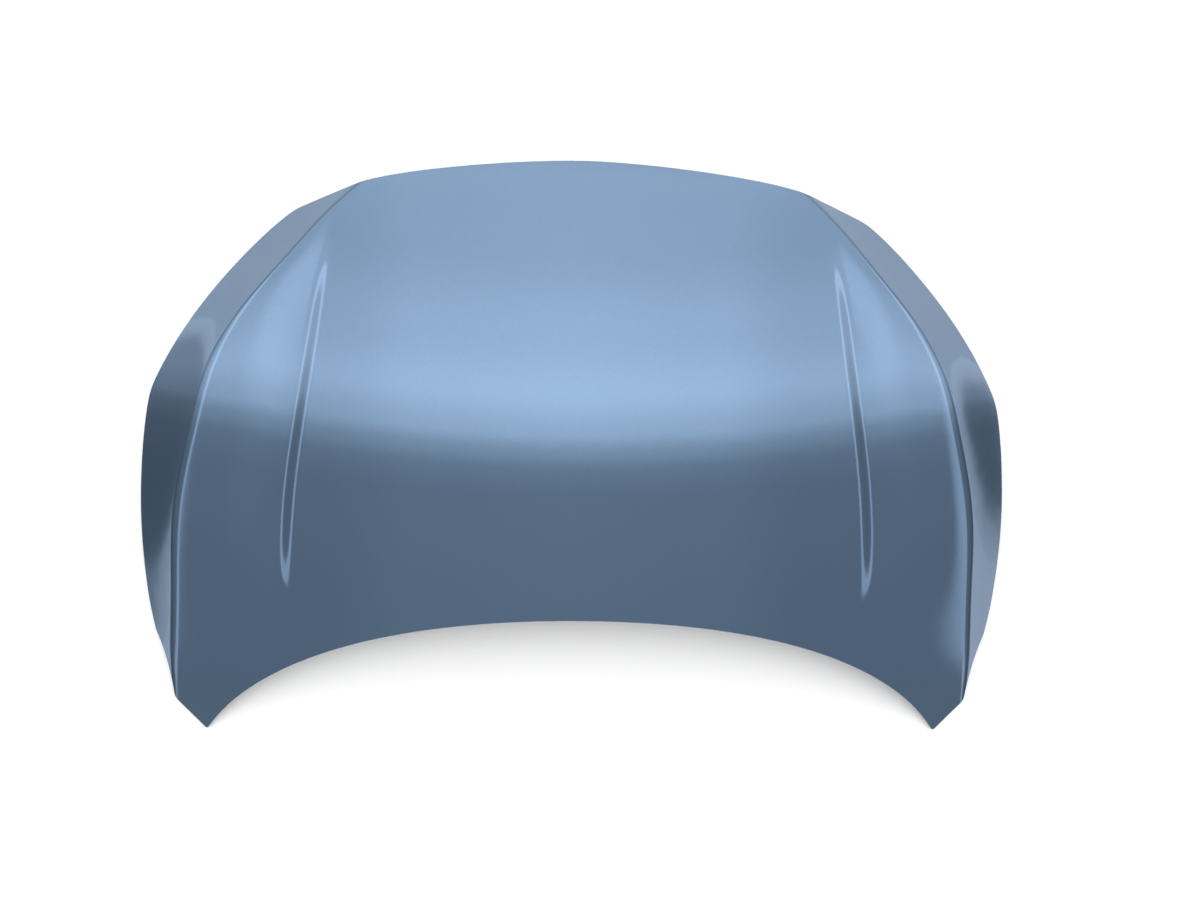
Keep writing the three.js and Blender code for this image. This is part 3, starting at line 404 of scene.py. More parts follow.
# Materials.


def new_material(name):
    material = bpy.data.materials.new(name)
    material.use_nodes = True
    tree = material.node_tree
    tree.nodes.clear()
    return material, tree


def node(tree, kind, inputs=None, **settings):
    made = tree.nodes.new(kind)
    for key, value in settings.items():
        setattr(made, key, value)
    for key, value in (inputs or {}).items():
        if isinstance(value, bpy.types.NodeSocket):
            tree.links.new(value, made.inputs[key])
        else:
            made.inputs[key].default_value = value
    return made


def shade(tree, **inputs):
    """The Principled shader and the output of a material."""
    named = {key.replace("_", " ").title().replace("Ior", "IOR"): value for key, value in inputs.items()}
    shader = node(tree, "ShaderNodeBsdfPrincipled", named)
    node(tree, "ShaderNodeOutputMaterial", {"Surface": shader.outputs["BSDF"]})
    return shader


def object_noise(tree, size, detail=3):
    """Noise over the object's own coordinates, with features of about `size` metres."""
    place = node(tree, "ShaderNodeTexCoord").outputs["Object"]
    noise = node(tree, "ShaderNodeTexNoise", {"Vector": place, "Scale": 1 / size, "Detail": detail})
    return noise.outputs["Fac"]


def spread(tree, source, low, high, start=0.3, end=0.7):
    """A value remapped from the middle of its range."""
    return node(tree, "ShaderNodeMapRange", {
        "Value": source, "From Min": start, "From Max": end, "To Min": low, "To Max": high,
    }).outputs["Result"]


def mix_colours(tree, share, first, second):
    mixed = node(tree, "ShaderNodeMix", data_type="RGBA")
    for key, value in ((0, share), (6, first), (7, second)):
        if isinstance(value, bpy.types.NodeSocket):
            tree.links.new(value, mixed.inputs[key])
        else:
            mixed.inputs[key].default_value = value
    return mixed.outputs[2]


def bump(tree, height, depth, under=None):
    inputs = {"Height": height, "Strength": 1.0, "Distance": depth}
    if under:
        inputs["Normal"] = under
    return node(tree, "ShaderNodeBump", inputs).outputs["Normal"]


# The dark and the light tone of each finish.
PAINT_TONES = [(0.073, 0.143, 0.246, 1), (0.087, 0.162, 0.270, 1)]
INNER_TONES = [(0.058, 0.098, 0.155, 1), (0.078, 0.122, 0.185, 1)]
STEEL_TONES = [(0.30, 0.30, 0.31, 1), (0.42, 0.42, 0.43, 1)]
ZINC_TONES = [(0.52, 0.53, 0.55, 1), (0.68, 0.69, 0.70, 1)]
RUBBER_TONES = [(0.010, 0.010, 0.011, 1), (0.021, 0.021, 0.022, 1)]
MASTIC_TONES = [(0.33, 0.32, 0.27, 1), (0.44, 0.43, 0.37, 1)]
FLAKE_SIZE = 0.0009


def body_paint():
    """Glossy blue-grey metallic paint: fine flake under a clear coat with a little orange peel."""
    material, tree = new_material("body_paint")
    place = node(tree, "ShaderNodeTexCoord").outputs["Object"]
    flakes = node(tree, "ShaderNodeTexVoronoi", {"Vector": place, "Scale": 1 / FLAKE_SIZE})
    flake_share = node(tree, "ShaderNodeSeparateColor", {"Color": flakes.outputs["Color"]}).outputs[0]
    colour = mix_colours(tree, flake_share, *PAINT_TONES)
    peel = bump(tree, object_noise(tree, 0.0045, 1.5), 0.0000045)
    clear_coat = bump(tree, object_noise(tree, 0.035, 1), 0.00004, peel)
    haze = spread(tree, object_noise(tree, 0.16), 0.075, 0.1)
    shade(
        tree, base_color=colour, metallic=0.8, roughness=haze, ior=1.5, normal=clear_coat,
        coat_weight=1.0, coat_roughness=0.02, coat_ior=1.55, coat_normal=clear_coat,
    )
    return material


def inner_paint():
    """The thinner, duller colour coat of the underside, mottled where the primer grins through."""
    material, tree = new_material("inner_paint")
    cover = spread(tree, object_noise(tree, 0.09, 5), 0, 1)
    colour = mix_colours(tree, cover, *INNER_TONES)
    grain = bump(tree, object_noise(tree, 0.0025, 2), 0.00002)
    shade(
        tree, base_color=colour, metallic=0.35, ior=1.5, coat_weight=0.25, coat_roughness=0.25,
        roughness=spread(tree, cover, 0.38, 0.5, 0, 1), normal=grain,
    )
    return material


def plated_steel(name, tones, low, high):
    """Steel with a cloudy finish of fine crystals."""
    material, tree = new_material(name)
    cloud = object_noise(tree, 0.012, 6)
    colour = mix_colours(tree, spread(tree, cloud, 0, 1), *tones)
    grain = bump(tree, object_noise(tree, 0.0006, 2), 0.000012)
    shade(tree, base_color=colour, metallic=1.0, roughness=spread(tree, cloud, low, high), normal=grain)
    return material


def rubber():
    material, tree = new_material("rubber")
    bloom = object_noise(tree, 0.006, 4)
    colour = mix_colours(tree, spread(tree, bloom, 0, 1), *RUBBER_TONES)
    grain = bump(tree, object_noise(tree, 0.0008, 2), 0.00003)
    shade(tree, base_color=colour, roughness=spread(tree, bloom, 0.6, 0.8), normal=grain)
    return material


def mastic():
    """Pale beige mastic, matt and slightly lumpy."""
    material, tree = new_material("mastic")
    lumps = object_noise(tree, 0.004, 4)
    colour = mix_colours(tree, spread(tree, lumps, 0, 1), *MASTIC_TONES)
    shade(tree, base_color=colour, roughness=0.85, normal=bump(tree, lumps, 0.0003))
    return material


materials = {
    "body_paint": body_paint(),
    "inner_paint": inner_paint(),
    "bare_steel": plated_steel("bare_steel", STEEL_TONES, 0.32, 0.5),
    "zinc_plate": plated_steel("zinc_plate", ZINC_TONES, 0.2, 0.36),
    "rubber": rubber(),
    "mastic": mastic(),
}


def dress(piece, slot, *nodes):
    """Puts a piece on the bonnet's body, in place of the CAD nodes named. The slot is not used."""
    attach(piece, "root")
    if nodes:
        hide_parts(*nodes)


# Outer skin.


def hem_ring(inset, depth):
    """A ring round the edge, set in from the outline and down along the skin's normal."""
    plan = outline + inset_directions(outline) * inset
    return skin_points(plan, depth)


def hem_round(sheet, radius, clockwise):
    """The rings of a half round at the edge of the sheet, from its upper face down, without its ends."""
    rings = []
    for angle in np.linspace(0, math.pi, ROUND_STEPS + 1)[1:-1]:
        inset = HEM_RADIUS - radius * math.sin(angle)
        depth = HEM_RADIUS - radius * math.cos(angle)
        rings.append(sheet.add(hem_ring(inset, depth)))
    return rings if clockwise else rings[::-1]


def line_points(line, shift, spacing, border):
    """Points in even steps beside a styling line, on both halves of the panel."""
    y = np.linspace(TIP_Y, NOSE_Y, LINE_SAMPLES)
    path = resample(np.stack([line(y), y], 1), 0, 0, spacing)
    forward = np.gradient(path, axis=0)
    forward /= np.linalg.norm(forward, axis=1, keepdims=True)
    points = path + np.stack([forward[:, 1], -forward[:, 0]], 1) * shift
    points = points[points[:, 0] > 0]
    points = points[inside(border, points)]
    points = points[distance(border, points) > spacing / 2]
    return np.concatenate([points, points * [-1, 1]])


def thin_out(points, spacing):
    """Drops each point that lies nearer than the spacing to one kept before it."""
    kept = []
    cells = {}
    for point in points:
        column, row = int(point[0] // spacing), int(point[1] // spacing)
        near = [
            other for i in (-1, 0, 1) for j in (-1, 0, 1)
            for other in cells.get((column + i, row + j), [])
        ]
        if all((point[0] - x)**2 + (point[1] - y)**2 >= spacing**2 for x, y in near):
            cells.setdefault((column, row), []).append((point[0], point[1]))
            kept.append(point)
    return np.array(kept)


def make_skin():
    sheet = Sheet()
    border = outline + inset_directions(outline) * HEM_RADIUS
    rows = [line_points(crease_at, shift, LINE_SPACING, border) for shift in CREASE_ROWS]
    rows += [line_points(ridge_at, shift, LINE_SPACING, border) for shift in RIDGE_ROWS]
    rows.append(hex_field(border, FACE_STEP, FACE_STEP / 2))
    field = thin_out(np.concatenate(rows), SKIN_LEAST_SPACING)
    field = field[distance(border, field) > SKIN_EDGE_CLEARANCE]
    triangles = fill(border, [], field)
    everywhere = np.concatenate([border, field])

    outward = normals_of(height_at, everywhere)
    upper = sheet.add(skin_points(everywhere), outward)
    lower = sheet.add(skin_points(everywhere, SHEET), -outward)
    sheet.faces += upper[triangles].tolist()
    sheet.faces += lower[triangles[:, ::-1]].tolist()

    count = len(outline)
    upper_edge, lower_edge = upper[:count], lower[:count]
    outer_lap = sheet.add(hem_ring(HEM_RADIUS, HEM_DEPTH))
    inner_lap = sheet.add(hem_ring(HEM_RADIUS, HEM_DEPTH - SHEET))
    outer_round = [upper_edge, *hem_round(sheet, HEM_RADIUS, True), outer_lap]
    inner_round = [inner_lap, *hem_round(sheet, HEM_RADIUS - SHEET, False), lower_edge]
    for first, second in [*zip(outer_round[:-1], outer_round[1:]), *zip(inner_round[:-1], inner_round[1:])]:
        sheet.strip(first, second)

    lap_end = offset_loop(outline, HEM_LAP)
    lap = fill(border, [lap_end], np.zeros((0, 2)))
    end_low = sheet.add(skin_points(lap_end, HEM_DEPTH))
    end_high = sheet.add(skin_points(lap_end, HEM_DEPTH - SHEET))
    below = np.concatenate([outer_lap, end_low])
    above = np.concatenate([inner_lap, end_high])
    sheet.faces += below[lap[:, ::-1]].tolist()
    sheet.faces += above[lap].tolist()
    sheet.strip(end_low, end_high)
    return sheet.build("painted_skin", materials["body_paint"])


dress(make_skin(), "body_paint", "outer_skin")


# Finish of each kind of piece.

FINISHES = {
    "outer_skin": "body_paint",
    "inner_frame": "inner_paint",
    "hinge_reinforcement": "bare_steel",
    "striker_reinforcement": "bare_steel",
    "hinge_nut": "zinc_plate",
    "striker": "zinc_plate",
    "buffer": "rubber",
    "mastic": "mastic",
}


def finish_of(name):
    return next(finish for start, finish in FINISHES.items() if name.startswith(start))


for name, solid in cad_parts.items():
    for place in solid.material_slots:
        place.material = materials[finish_of(name)]


# Pressed inner frame, as in the CAD model.

FLANGE_INSET = 1.7
FLANGE_WIDTH = 11.5
FLANGE_END = FLANGE_INSET + FLANGE_WIDTH
FLANGE_DEPTH = SHEET + SEAT_GAP
CHANNEL_RAMP = 13
EDGE_CHANNEL_DEPTH = 9
EDGE_CHANNEL_FALL = 54
CHANNEL_DEPTH = 24
LAND_DEPTH = 6.5
LAND_WIDTH = 16
LAND_RAMP = 14
OPENING_CORNER = 12
FRONT_MEMBER = 150
REAR_MEMBER = 112
MIDDLE_RIB = 88
LONG_RIB = 92
CENTRE_OPENING = [68, 40]
INNER_OPENING = [132, 68]
OUTER_OPENING = [131, 78]
SIDE_OPENING = [(109, 0), (66, 0), (25, 0.48), (34, 0.79), (66, 1), (93, 0.95)]
SIDE_OPENING_AHEAD_OF_HINGE = 135
SIDE_OPENING_AHEAD_OF_LAMP = 110
JOIN_SHARPNESS = 6

# Seats pressed into the frame.
HINGE_INBOARD = 69
HINGE_AHEAD = 105.5
HINGE_PAD = [42, 96]
HINGE_PAD_STAND = 2
HINGE_BOLT_SPACING = 60
STRIKER_SETBACK = 79
STRIKER_PAD = [112, 56]
STRIKER_PAD_DEPTH = 27
STRIKER_BOLT_SPACING = 76
SEAT_RAMP = 7
BOLT_HOLE = 5.2
BUFFER_SEAT_RADIUS = 16
BUFFER_SEAT_STAND = 2
BUFFER_HOLE = 6
NOSE_BUFFER_HALF_SPAN = 300
NOSE_BUFFER_SETBACK = 69
SIDE_BUFFER_OUTBOARD = 12.5
SIDE_BUFFER_AHEAD = 100

# Fineness of the frame.
FRAME_STEP = 8
FRAME_ROW_STEP = 5
RAMP_ROW_STEP = 3.6
SEAT_ROW_STEP = 2.6
LEAST_SPACING = 1.6
FRAME_EDGE_CLEARANCE = 1.2
FLANGE_ROWS = [7, FLANGE_END, 16.5, 19.7, 23, FLANGE_END + CHANNEL_RAMP, 32, 38]
LAND_ROWS = [8, LAND_WIDTH, 18.5, 21.2, 24, 27, LAND_WIDTH + LAND_RAMP]
SEAT_ROWS = [-2, 0, 1.75, 3.5, 5.25, SEAT_RAMP, 9]
HOLE_ROW = 3


def y_along(line, x):
    """Y of a plan curve at a half span."""
    order = np.argsort(line[:, 0])
    return float(np.interp(abs(x), line[order, 0], line[order, 1]))


nose_line = np.concatenate([nose_edge, lamp_edge, cheek_edge])


def nose_y(x):
    return y_along(nose_line, x)


def rear_y(x):
    return y_along(rear_edge, x)


def crease_point(y, outboard):
    return np.array([float(crease_at(y)) + outboard, y])


def column_corners(rear, nose, row):
    """The corners of one opening of a fanned column, given the spans of its sides at both ends."""
    def corner(side, at_nose):
        start, half_way, end = (rear[side] + (nose[side] - rear[side]) * share for share in (0, 0.5, 1))
        middle = (rear_y(half_way) + REAR_MEMBER + nose_y(half_way) - FRONT_MEMBER) / 2
        if row == "rear":
            return (half_way, middle - MIDDLE_RIB / 2) if at_nose else (start, rear_y(start) + REAR_MEMBER)
        return (end, nose_y(end) - FRONT_MEMBER) if at_nose else (half_way, middle + MIDDLE_RIB / 2)

    return np.array([corner(0, False), corner(1, False), corner(1, True), corner(0, True)])


hinge_x = min(HEEL[0], WING_BEND[0]) - HINGE_INBOARD
hinge_y = rear_y(hinge_x - HINGE_PAD[0] / 2) + HINGE_AHEAD


def opening_corners():
    """The corners of every opening, counter-clockwise, its rear edge first."""
    inner = [[half + LONG_RIB, half + LONG_RIB + width] for half, width in zip(CENTRE_OPENING, INNER_OPENING)]
    outer = [[far + LONG_RIB, far + LONG_RIB + width] for (_, far), width in zip(inner, OUTER_OPENING)]
    centre = [[-half, half] for half in CENTRE_OPENING]
    found = {f"centre_{row}": column_corners(*centre, row) for row in ("rear", "nose")}
    right = {
        f"{column}_{row}": column_corners(*spans, row)
        for column, spans in (("inner", inner), ("outer", outer)) for row in ("rear", "nose")
    }
    rear, nose = hinge_y + SIDE_OPENING_AHEAD_OF_HINGE, LAMP_CORNER[1] + SIDE_OPENING_AHEAD_OF_LAMP
    right["side"] = np.array([
        crease_point(rear + (nose - rear) * share, -inboard) for inboard, share in SIDE_OPENING
    ])
    for name, corners in right.items():
        found[f"{name}_right"] = corners
        mirror = corners * [-1, 1]
        found[f"{name}_left"] = np.concatenate([mirror[1::-1], mirror[:1:-1]])
    return found


def rounded_loop(corners, radius, step):
    """A loop through corners rounded off, in even steps."""
    loop = []
    for before, corner, after in zip(np.roll(corners, 1, axis=0), corners, np.roll(corners, -1, axis=0)):
        inward = (before - corner) / np.linalg.norm(before - corner)
        outward = (after - corner) / np.linalg.norm(after - corner)
        half = math.acos(np.clip(inward @ outward, -1, 1)) / 2
        cut = radius / math.tan(half)
        arc = bezier(corner + inward * cut, corner, corner + outward * cut)
        if loop:
            loop.extend(resample(straight(loop[-1], arc[0]), 0, 0, step)[1:-1])
        loop.extend(resample(arc, 0, 0, step / 2))
    loop.extend(resample(straight(loop[-1], loop[0]), 0, 0, step)[1:-1])
    return np.array(loop)


def circle(radius, middle=(0, 0), sides=32):
    angles = np.arange(sides) * 2 * math.pi / sides
    return np.stack([np.cos(angles), np.sin(angles)], 1) * radius + middle


def rectangle(size, corner, step):
    half = np.array(size) / 2
    return rounded_loop(np.array([[-1, -1], [1, -1], [1, 1], [-1, 1]]) * half, corner, step)


class Seat:
    """A flat seat's frame: X across, Y towards the nose, Z out of its upper face."""

    def __init__(self, at, depth, upright=False):
        at = np.array(at, float)
        self.normal = np.array([0.0, 0, 1]) if upright else normals_of(height_at, at[None])[0]
        self.origin = np.array([*at, float(height_at(*at)) - depth])
        forward = np.array([0, 1, 0]) - self.normal * self.normal[1]
        forward /= np.linalg.norm(forward)
        self.axes = np.array([np.cross(forward, self.normal), forward, self.normal])

    def lift(self, local):
        return self.origin + local @ self.axes

    def plan_loop(self, loop):
        return self.lift(np.column_stack([loop, np.zeros(len(loop))]))[:, :2]

    def plane_height(self, x, y):
        fall = self.normal[0] * (x - self.origin[0]) + self.normal[1] * (y - self.origin[1])
        return self.origin[2] - fall / self.normal[2]

    def local(self, x, y):
        on_plane = np.stack([x, y, self.plane_height(x, y)], -1)
        return (on_plane - self.origin) @ self.axes[:2].T


class PadSeat(Seat):
    """A rectangular seat with holes along one of its axes."""

    def __init__(self, at, depth, size, holes, upright=False):
        super().__init__(at, depth, upright)
        self.half = np.array(size) / 2
        self.border = rectangle(size, SEAT_RAMP, 4)
        self.holes = [circle(BOLT_HOLE, middle=hole) for hole in holes]

    def beyond(self, x, y):
        """How far a plan point lies outside the seat's border."""
        past = np.abs(self.local(x, y)) - self.half + SEAT_RAMP
        return np.linalg.norm(np.maximum(past, 0), axis=-1) + np.minimum(past.max(-1), 0) - SEAT_RAMP


class RoundSeat(Seat):
    """A round seat with one hole in its middle."""

    def __init__(self, at, depth):
        super().__init__(at, depth)
        self.border = circle(BUFFER_SEAT_RADIUS)
        self.holes = [circle(BUFFER_HOLE)]

    def beyond(self, x, y):
        return np.linalg.norm(self.local(x, y), axis=-1) - BUFFER_SEAT_RADIUS


def all_seats():
    nose_buffer = np.array([NOSE_BUFFER_HALF_SPAN, nose_y(NOSE_BUFFER_HALF_SPAN) - NOSE_BUFFER_SETBACK])
    side_buffer = crease_point(LAMP_CORNER[1] + SIDE_BUFFER_AHEAD, SIDE_BUFFER_OUTBOARD)
    striker_holes = [(-STRIKER_BOLT_SPACING / 2, 0), (STRIKER_BOLT_SPACING / 2, 0)]
    hinge_holes = [(0, -HINGE_BOLT_SPACING / 2), (0, HINGE_BOLT_SPACING / 2)]
    striker_at = (0, NOSE_Y - STRIKER_SETBACK)
    hinge_depth = CHANNEL_DEPTH + HINGE_PAD_STAND
    found = {"striker": PadSeat(striker_at, STRIKER_PAD_DEPTH, STRIKER_PAD, striker_holes, upright=True)}
    for side, name in ((-1, "left"), (1, "right")):
        found[f"hinge_{name}"] = PadSeat((side * hinge_x, hinge_y), hinge_depth, HINGE_PAD, hinge_holes)
        for place, at in (("nose", nose_buffer), ("side", side_buffer)):
            found[f"buffer_{place}_{name}"] = RoundSeat(at * [side, 1], CHANNEL_DEPTH + BUFFER_SEAT_STAND)
    return found


openings = opening_corners()
rims = [rounded_loop(corners, OPENING_CORNER, FRAME_ROW_STEP) for corners in openings.values()]
seats = all_seats()


def frame_height(x, y):
    """Height of the frame's upper face: a channel that rises to the flange and round each opening."""
    points = np.stack([x, y], 1)
    upright = normals_of(height_at, points)[:, 2]
    inset = distance(outline, points)
    edge_rise = CHANNEL_DEPTH - FLANGE_DEPTH / upright
    edge_rise -= (EDGE_CHANNEL_DEPTH - FLANGE_DEPTH / upright) * smooth((inset - FLANGE_END) / CHANNEL_RAMP)
    fall = smooth((inset - FLANGE_END - CHANNEL_RAMP) / EDGE_CHANNEL_FALL)
    edge_rise -= (CHANNEL_DEPTH - EDGE_CHANNEL_DEPTH) * fall
    total = np.maximum(edge_rise, 0)**JOIN_SHARPNESS
    for rim in rims:
        low, high = rim.min(0) - LAND_WIDTH - LAND_RAMP, rim.max(0) + LAND_WIDTH + LAND_RAMP
        near = ((points > low) & (points < high)).all(1)
        away = distance(rim, points[near]) if near.any() else np.zeros(0)
        rise = (CHANNEL_DEPTH - LAND_DEPTH) * (1 - smooth((away - LAND_WIDTH) / LAND_RAMP))
        total[near] += rise**JOIN_SHARPNESS
    height = height_at(x, y) - CHANNEL_DEPTH + total**(1 / JOIN_SHARPNESS)
    for seat in seats.values():
        flat = 1 - smooth(seat.beyond(x, y) / SEAT_RAMP)
        height = height * (1 - flat) + seat.plane_height(x, y) * flat
    return height


def clear_of(loops, points, gap):
    """The points inside the first loop and outside the others, with a gap to each."""
    points = points[inside(loops[0], points)]
    points = points[distance(loops[0], points) > gap]
    for loop in loops[1:]:
        points = points[~inside(loop, points)]
        points = points[distance(loop, points) > gap]
    return points


def make_frame():
    border = outline + inset_directions(outline) * FLANGE_INSET
    holes = rims + [seat.plan_loop(hole) for seat in seats.values() for hole in seat.holes]
    rows = []
    for seat in seats.values():
        rings = [even_loop(offset_loop(seat.border, away), SEAT_ROW_STEP) for away in SEAT_ROWS]
        rings += [offset_loop(hole, HOLE_ROW) for hole in seat.holes]
        rows += [seat.plan_loop(ring) for ring in rings]
    rows += [offset_loop(outline, inset) for inset in FLANGE_ROWS]
    for rim in rims:
        rows += [even_loop(offset_loop(rim, away), RAMP_ROW_STEP) for away in LAND_ROWS]
    field = np.concatenate([*rows, hex_field(outline, FRAME_STEP, FLANGE_END)])
    field = thin_out(clear_of([border, *holes], field, FRAME_EDGE_CLEARANCE), LEAST_SPACING)
    triangles = fill(border, holes, field)
    everywhere = np.concatenate([border, *holes, field])
    upward = normals_of(frame_height, everywhere)
    points = np.column_stack([everywhere, frame_height(*everywhere.T)])

    sheet = Sheet()
    upper = sheet.add(points, upward)
    lower = sheet.add(points - upward * SHEET, -upward)
    sheet.faces += upper[triangles].tolist()
    sheet.faces += lower[triangles[:, ::-1]].tolist()
    first = 0
    for loop in [border, *holes]:
        ring = np.arange(first, first + len(loop))
        first += len(loop)
        if clockwise(loop) == (loop is border):
            sheet.strip(upper[ring], lower[ring])
        else:
            sheet.strip(lower[ring], upper[ring])
    return sheet.build("pressed_frame", materials["inner_paint"])


def clockwise(loop):
    x, y = loop.T
    return ((x * np.roll(y, -1)) - (np.roll(x, -1) * y)).sum() < 0


dress(make_frame(), "inner_paint", "inner_frame")


# Sealer over the end of the folded hem.

SEALER_HALF_WIDTH = 3.2
SEALER_HEIGHT = 1.1
SEALER_SIDES = 8


def make_hem_sealer():
    """A low bead with a slightly wandering edge along the hem's free end."""
    sheet = Sheet()
    middle = even_loop(offset_loop(outline, HEM_LAP), FRAME_ROW_STEP)
    along = np.arange(len(middle))
    wander = 1 + 0.09 * np.sin(along * 0.83) + 0.06 * np.sin(along * 2.1 + 1)
    rings = []
    for angle in np.linspace(0, math.pi, SEALER_SIDES):
        inset = SEALER_HALF_WIDTH * math.cos(angle)
        plan = middle + inset_directions(middle) * inset * wander[:, None]
        under = HEM_DEPTH - SHEET * (inset > 0) - 0.1
        depth = under + (SEALER_HEIGHT + HEM_DEPTH - under) * math.sin(angle) * wander
        rings.append(sheet.add(skin_points(plan, depth[:, None])))
    for first, second in zip(rings, rings[1:] + rings[:1]):
        sheet.strip(first, second)
    return sheet.build("hem_sealer", materials["inner_paint"])


dress(make_hem_sealer(), "inner_paint")


# Fittings under the panel.

HINGE_PLATE = 1.5
STRIKER_PLATE_SIZE = [100, 38]
STRIKER_PLATE = 3
STRIKER_BACKING = 2
BACKING_MARGIN = 3
PLATE_CORNER = 6
PLATE_STEP = 3
STRIKER_ROD = 8
STRIKER_LEG_SPACING = 28
STRIKER_DROP = 34
STRIKER_BEND = 9
WELD_PROFILE = [(-0.2, 0), (2.6, 0), (1.17, -0.9), (-0.2, -2.2)]
BOLT_THREAD = 8
THREAD_PITCH = 1.25
THREAD_DEPTH = 0.65
BOLT_HEAD_WIDTH = 13
BOLT_HEAD_HEIGHT = 6
BOLT_FLANGE = 18
BOLT_FLANGE_HEIGHT = 2
BOLT_FLANGE_SLOPE = 0.8
BOLT_FLANGE_RIM = 0.7
BOLT_HEAD_SINK = 0.3
BOLT_END = 2
THREAD_CLEARANCE = 0.4
NUT_HEIGHT = 6.5
NUT_WIDTH = 14
NUT_ROUND = 0.7
BUFFER_RADIUS = 12.5
BUFFER_HEIGHT = 14
BUFFER_CHAMFER = 2
BUFFER_STEM = 5.4
BUFFER_BARB = 7.8
BUFFER_BARB_HEIGHT = 6
MASTIC_SIZE = [26, 11]
MASTIC_TOP_GAP = 0.9
TURNED_SIDES = 48
ROD_SIDES = 24
ROD_STEP = 1.2
LUMP_SIDES = 40
LUMP_LEVELS = 9
SHARP_ANGLE = math.radians(28)
SHADED_SHARP_ANGLE = math.radians(40)


def rings_joined(rings, closed=False):
    """Quads between rings of point numbers; a ring on the axis is one number repeated."""
    pairs = list(zip(rings, rings[1:] + rings[:1])) if closed else list(zip(rings[:-1], rings[1:]))
    faces = []
    for a, b in pairs:
        for i in range(len(a)):
            j = (i + 1) % len(a)
            faces.append(list(dict.fromkeys([a[i], a[j], b[j], b[i]])))
    return faces


def turned(profile, middle=(0, 0), closed=False):
    """A shell turned about Z from (radius, height) points."""
    points, rings = [], []
    for radius, height in profile:
        first = len(points)
        loop = circle(radius, middle=middle, sides=TURNED_SIDES) if radius else np.array([middle])
        points += [(x, y, height) for x, y in loop]
        rings.append([first + i % len(loop) for i in range(TURNED_SIDES)])
    return points, rings_joined(rings, closed)


def extruded(border, holes, low, high):
    """A flat plate between two heights."""
    points = np.concatenate([border, *holes])
    cap = fill(border, holes, np.zeros((0, 2)))
    count = len(points)
    faces = cap[:, ::-1].tolist() + (cap + count).tolist()
    first = 0
    for loop in [border, *holes]:
        for i in range(len(loop)):
            a, b = first + i, first + (i + 1) % len(loop)
            faces.append([a, b, b + count, a + count])
        first += len(loop)
    both = [np.column_stack([points, np.full(count, height)]) for height in (low, high)]
    return np.concatenate(both).tolist(), faces


def threaded_rod(radius, length):
    """A rod with a helical thread that fades at both ends."""
    heights = np.arange(0, length + 0.01, THREAD_PITCH / 6)
    points, rings = [(0, 0, 0)], [[0] * ROD_SIDES]
    for height in heights:
        rings.append(list(range(len(points), len(points) + ROD_SIDES)))
        fade = min(1, height / THREAD_PITCH, (length - height) / THREAD_PITCH + 0.3)
        for i in range(ROD_SIDES):
            turn = (height / THREAD_PITCH - i / ROD_SIDES) % 1
            angle = 2 * math.pi * i / ROD_SIDES
            reach = radius - THREAD_DEPTH * abs(2 * turn - 1) * fade
            points.append((reach * math.cos(angle), reach * math.sin(angle), height))
    rings.append([len(points)] * ROD_SIDES)
    points.append((0, 0, heights[-1]))
    return points, rings_joined(rings)


def hexagon(width):
    angles = np.arange(6) * math.pi / 3
    return np.stack([np.cos(angles), np.sin(angles)], 1) * width / math.sqrt(3)


def bent_rod():
    """The striker's U of round rod: legs up to Z = STRIKER_PLATE, bow hanging below."""
    leg = STRIKER_LEG_SPACING / 2
    bend = STRIKER_BEND - STRIKER_DROP
    left = bezier((-leg, bend), (-leg, -STRIKER_DROP), (STRIKER_BEND - leg, -STRIKER_DROP))
    left = np.vstack([(-leg, STRIKER_PLATE), resample(left, 0, 0, 1)])
    path = resample(np.concatenate([left, left[::-1] * [-1, 1]]), 0, 0, ROD_STEP)
    tangent = np.gradient(path, axis=0)
    tangent /= np.linalg.norm(tangent, axis=1, keepdims=True)
    sideways = np.stack([tangent[:, 1], -tangent[:, 0]], 1)
    points, rings = [], []
    for (x, z), (nx, nz) in zip(path, sideways):
        rings.append(list(range(len(points), len(points) + ROD_SIDES)))
        for i in range(ROD_SIDES):
            angle = 2 * math.pi * i / ROD_SIDES
            out, along = math.cos(angle) * STRIKER_ROD / 2, math.sin(angle) * STRIKER_ROD / 2
            points.append((x + nx * out, along, z + nz * out))
    faces = rings_joined(rings) + [rings[0][::-1], rings[-1]]
    return points, faces


def lump(size, height, seed):
    """A dab of mastic squeezed between two sheets: a rounded cushion with an uneven rim."""
    half = np.array([size[0] / 2, size[1] / 2, height / 2])
    points, rings = [], []
    for level in np.linspace(-1, 1, LUMP_LEVELS):
        rings.append(list(range(len(points), len(points) + LUMP_SIDES)))
        for i in range(LUMP_SIDES):
            angle = 2 * math.pi * i / LUMP_SIDES
            bulge = (1 - abs(level)**3)**0.5 * 0.28 + 0.68
            bulge *= 0.97 + 0.03 * math.sin(3 * angle + seed) - 0.02 * math.sin(7 * angle + 2 * seed)
            x = math.copysign(abs(math.cos(angle))**0.6, math.cos(angle))
            y = math.copysign(abs(math.sin(angle))**0.6, math.sin(angle))
            points.append((x * half[0] * bulge, y * half[1] * bulge, half[2] * (1 + level)))
    return points, rings_joined(rings) + [rings[0][::-1], rings[-1]]


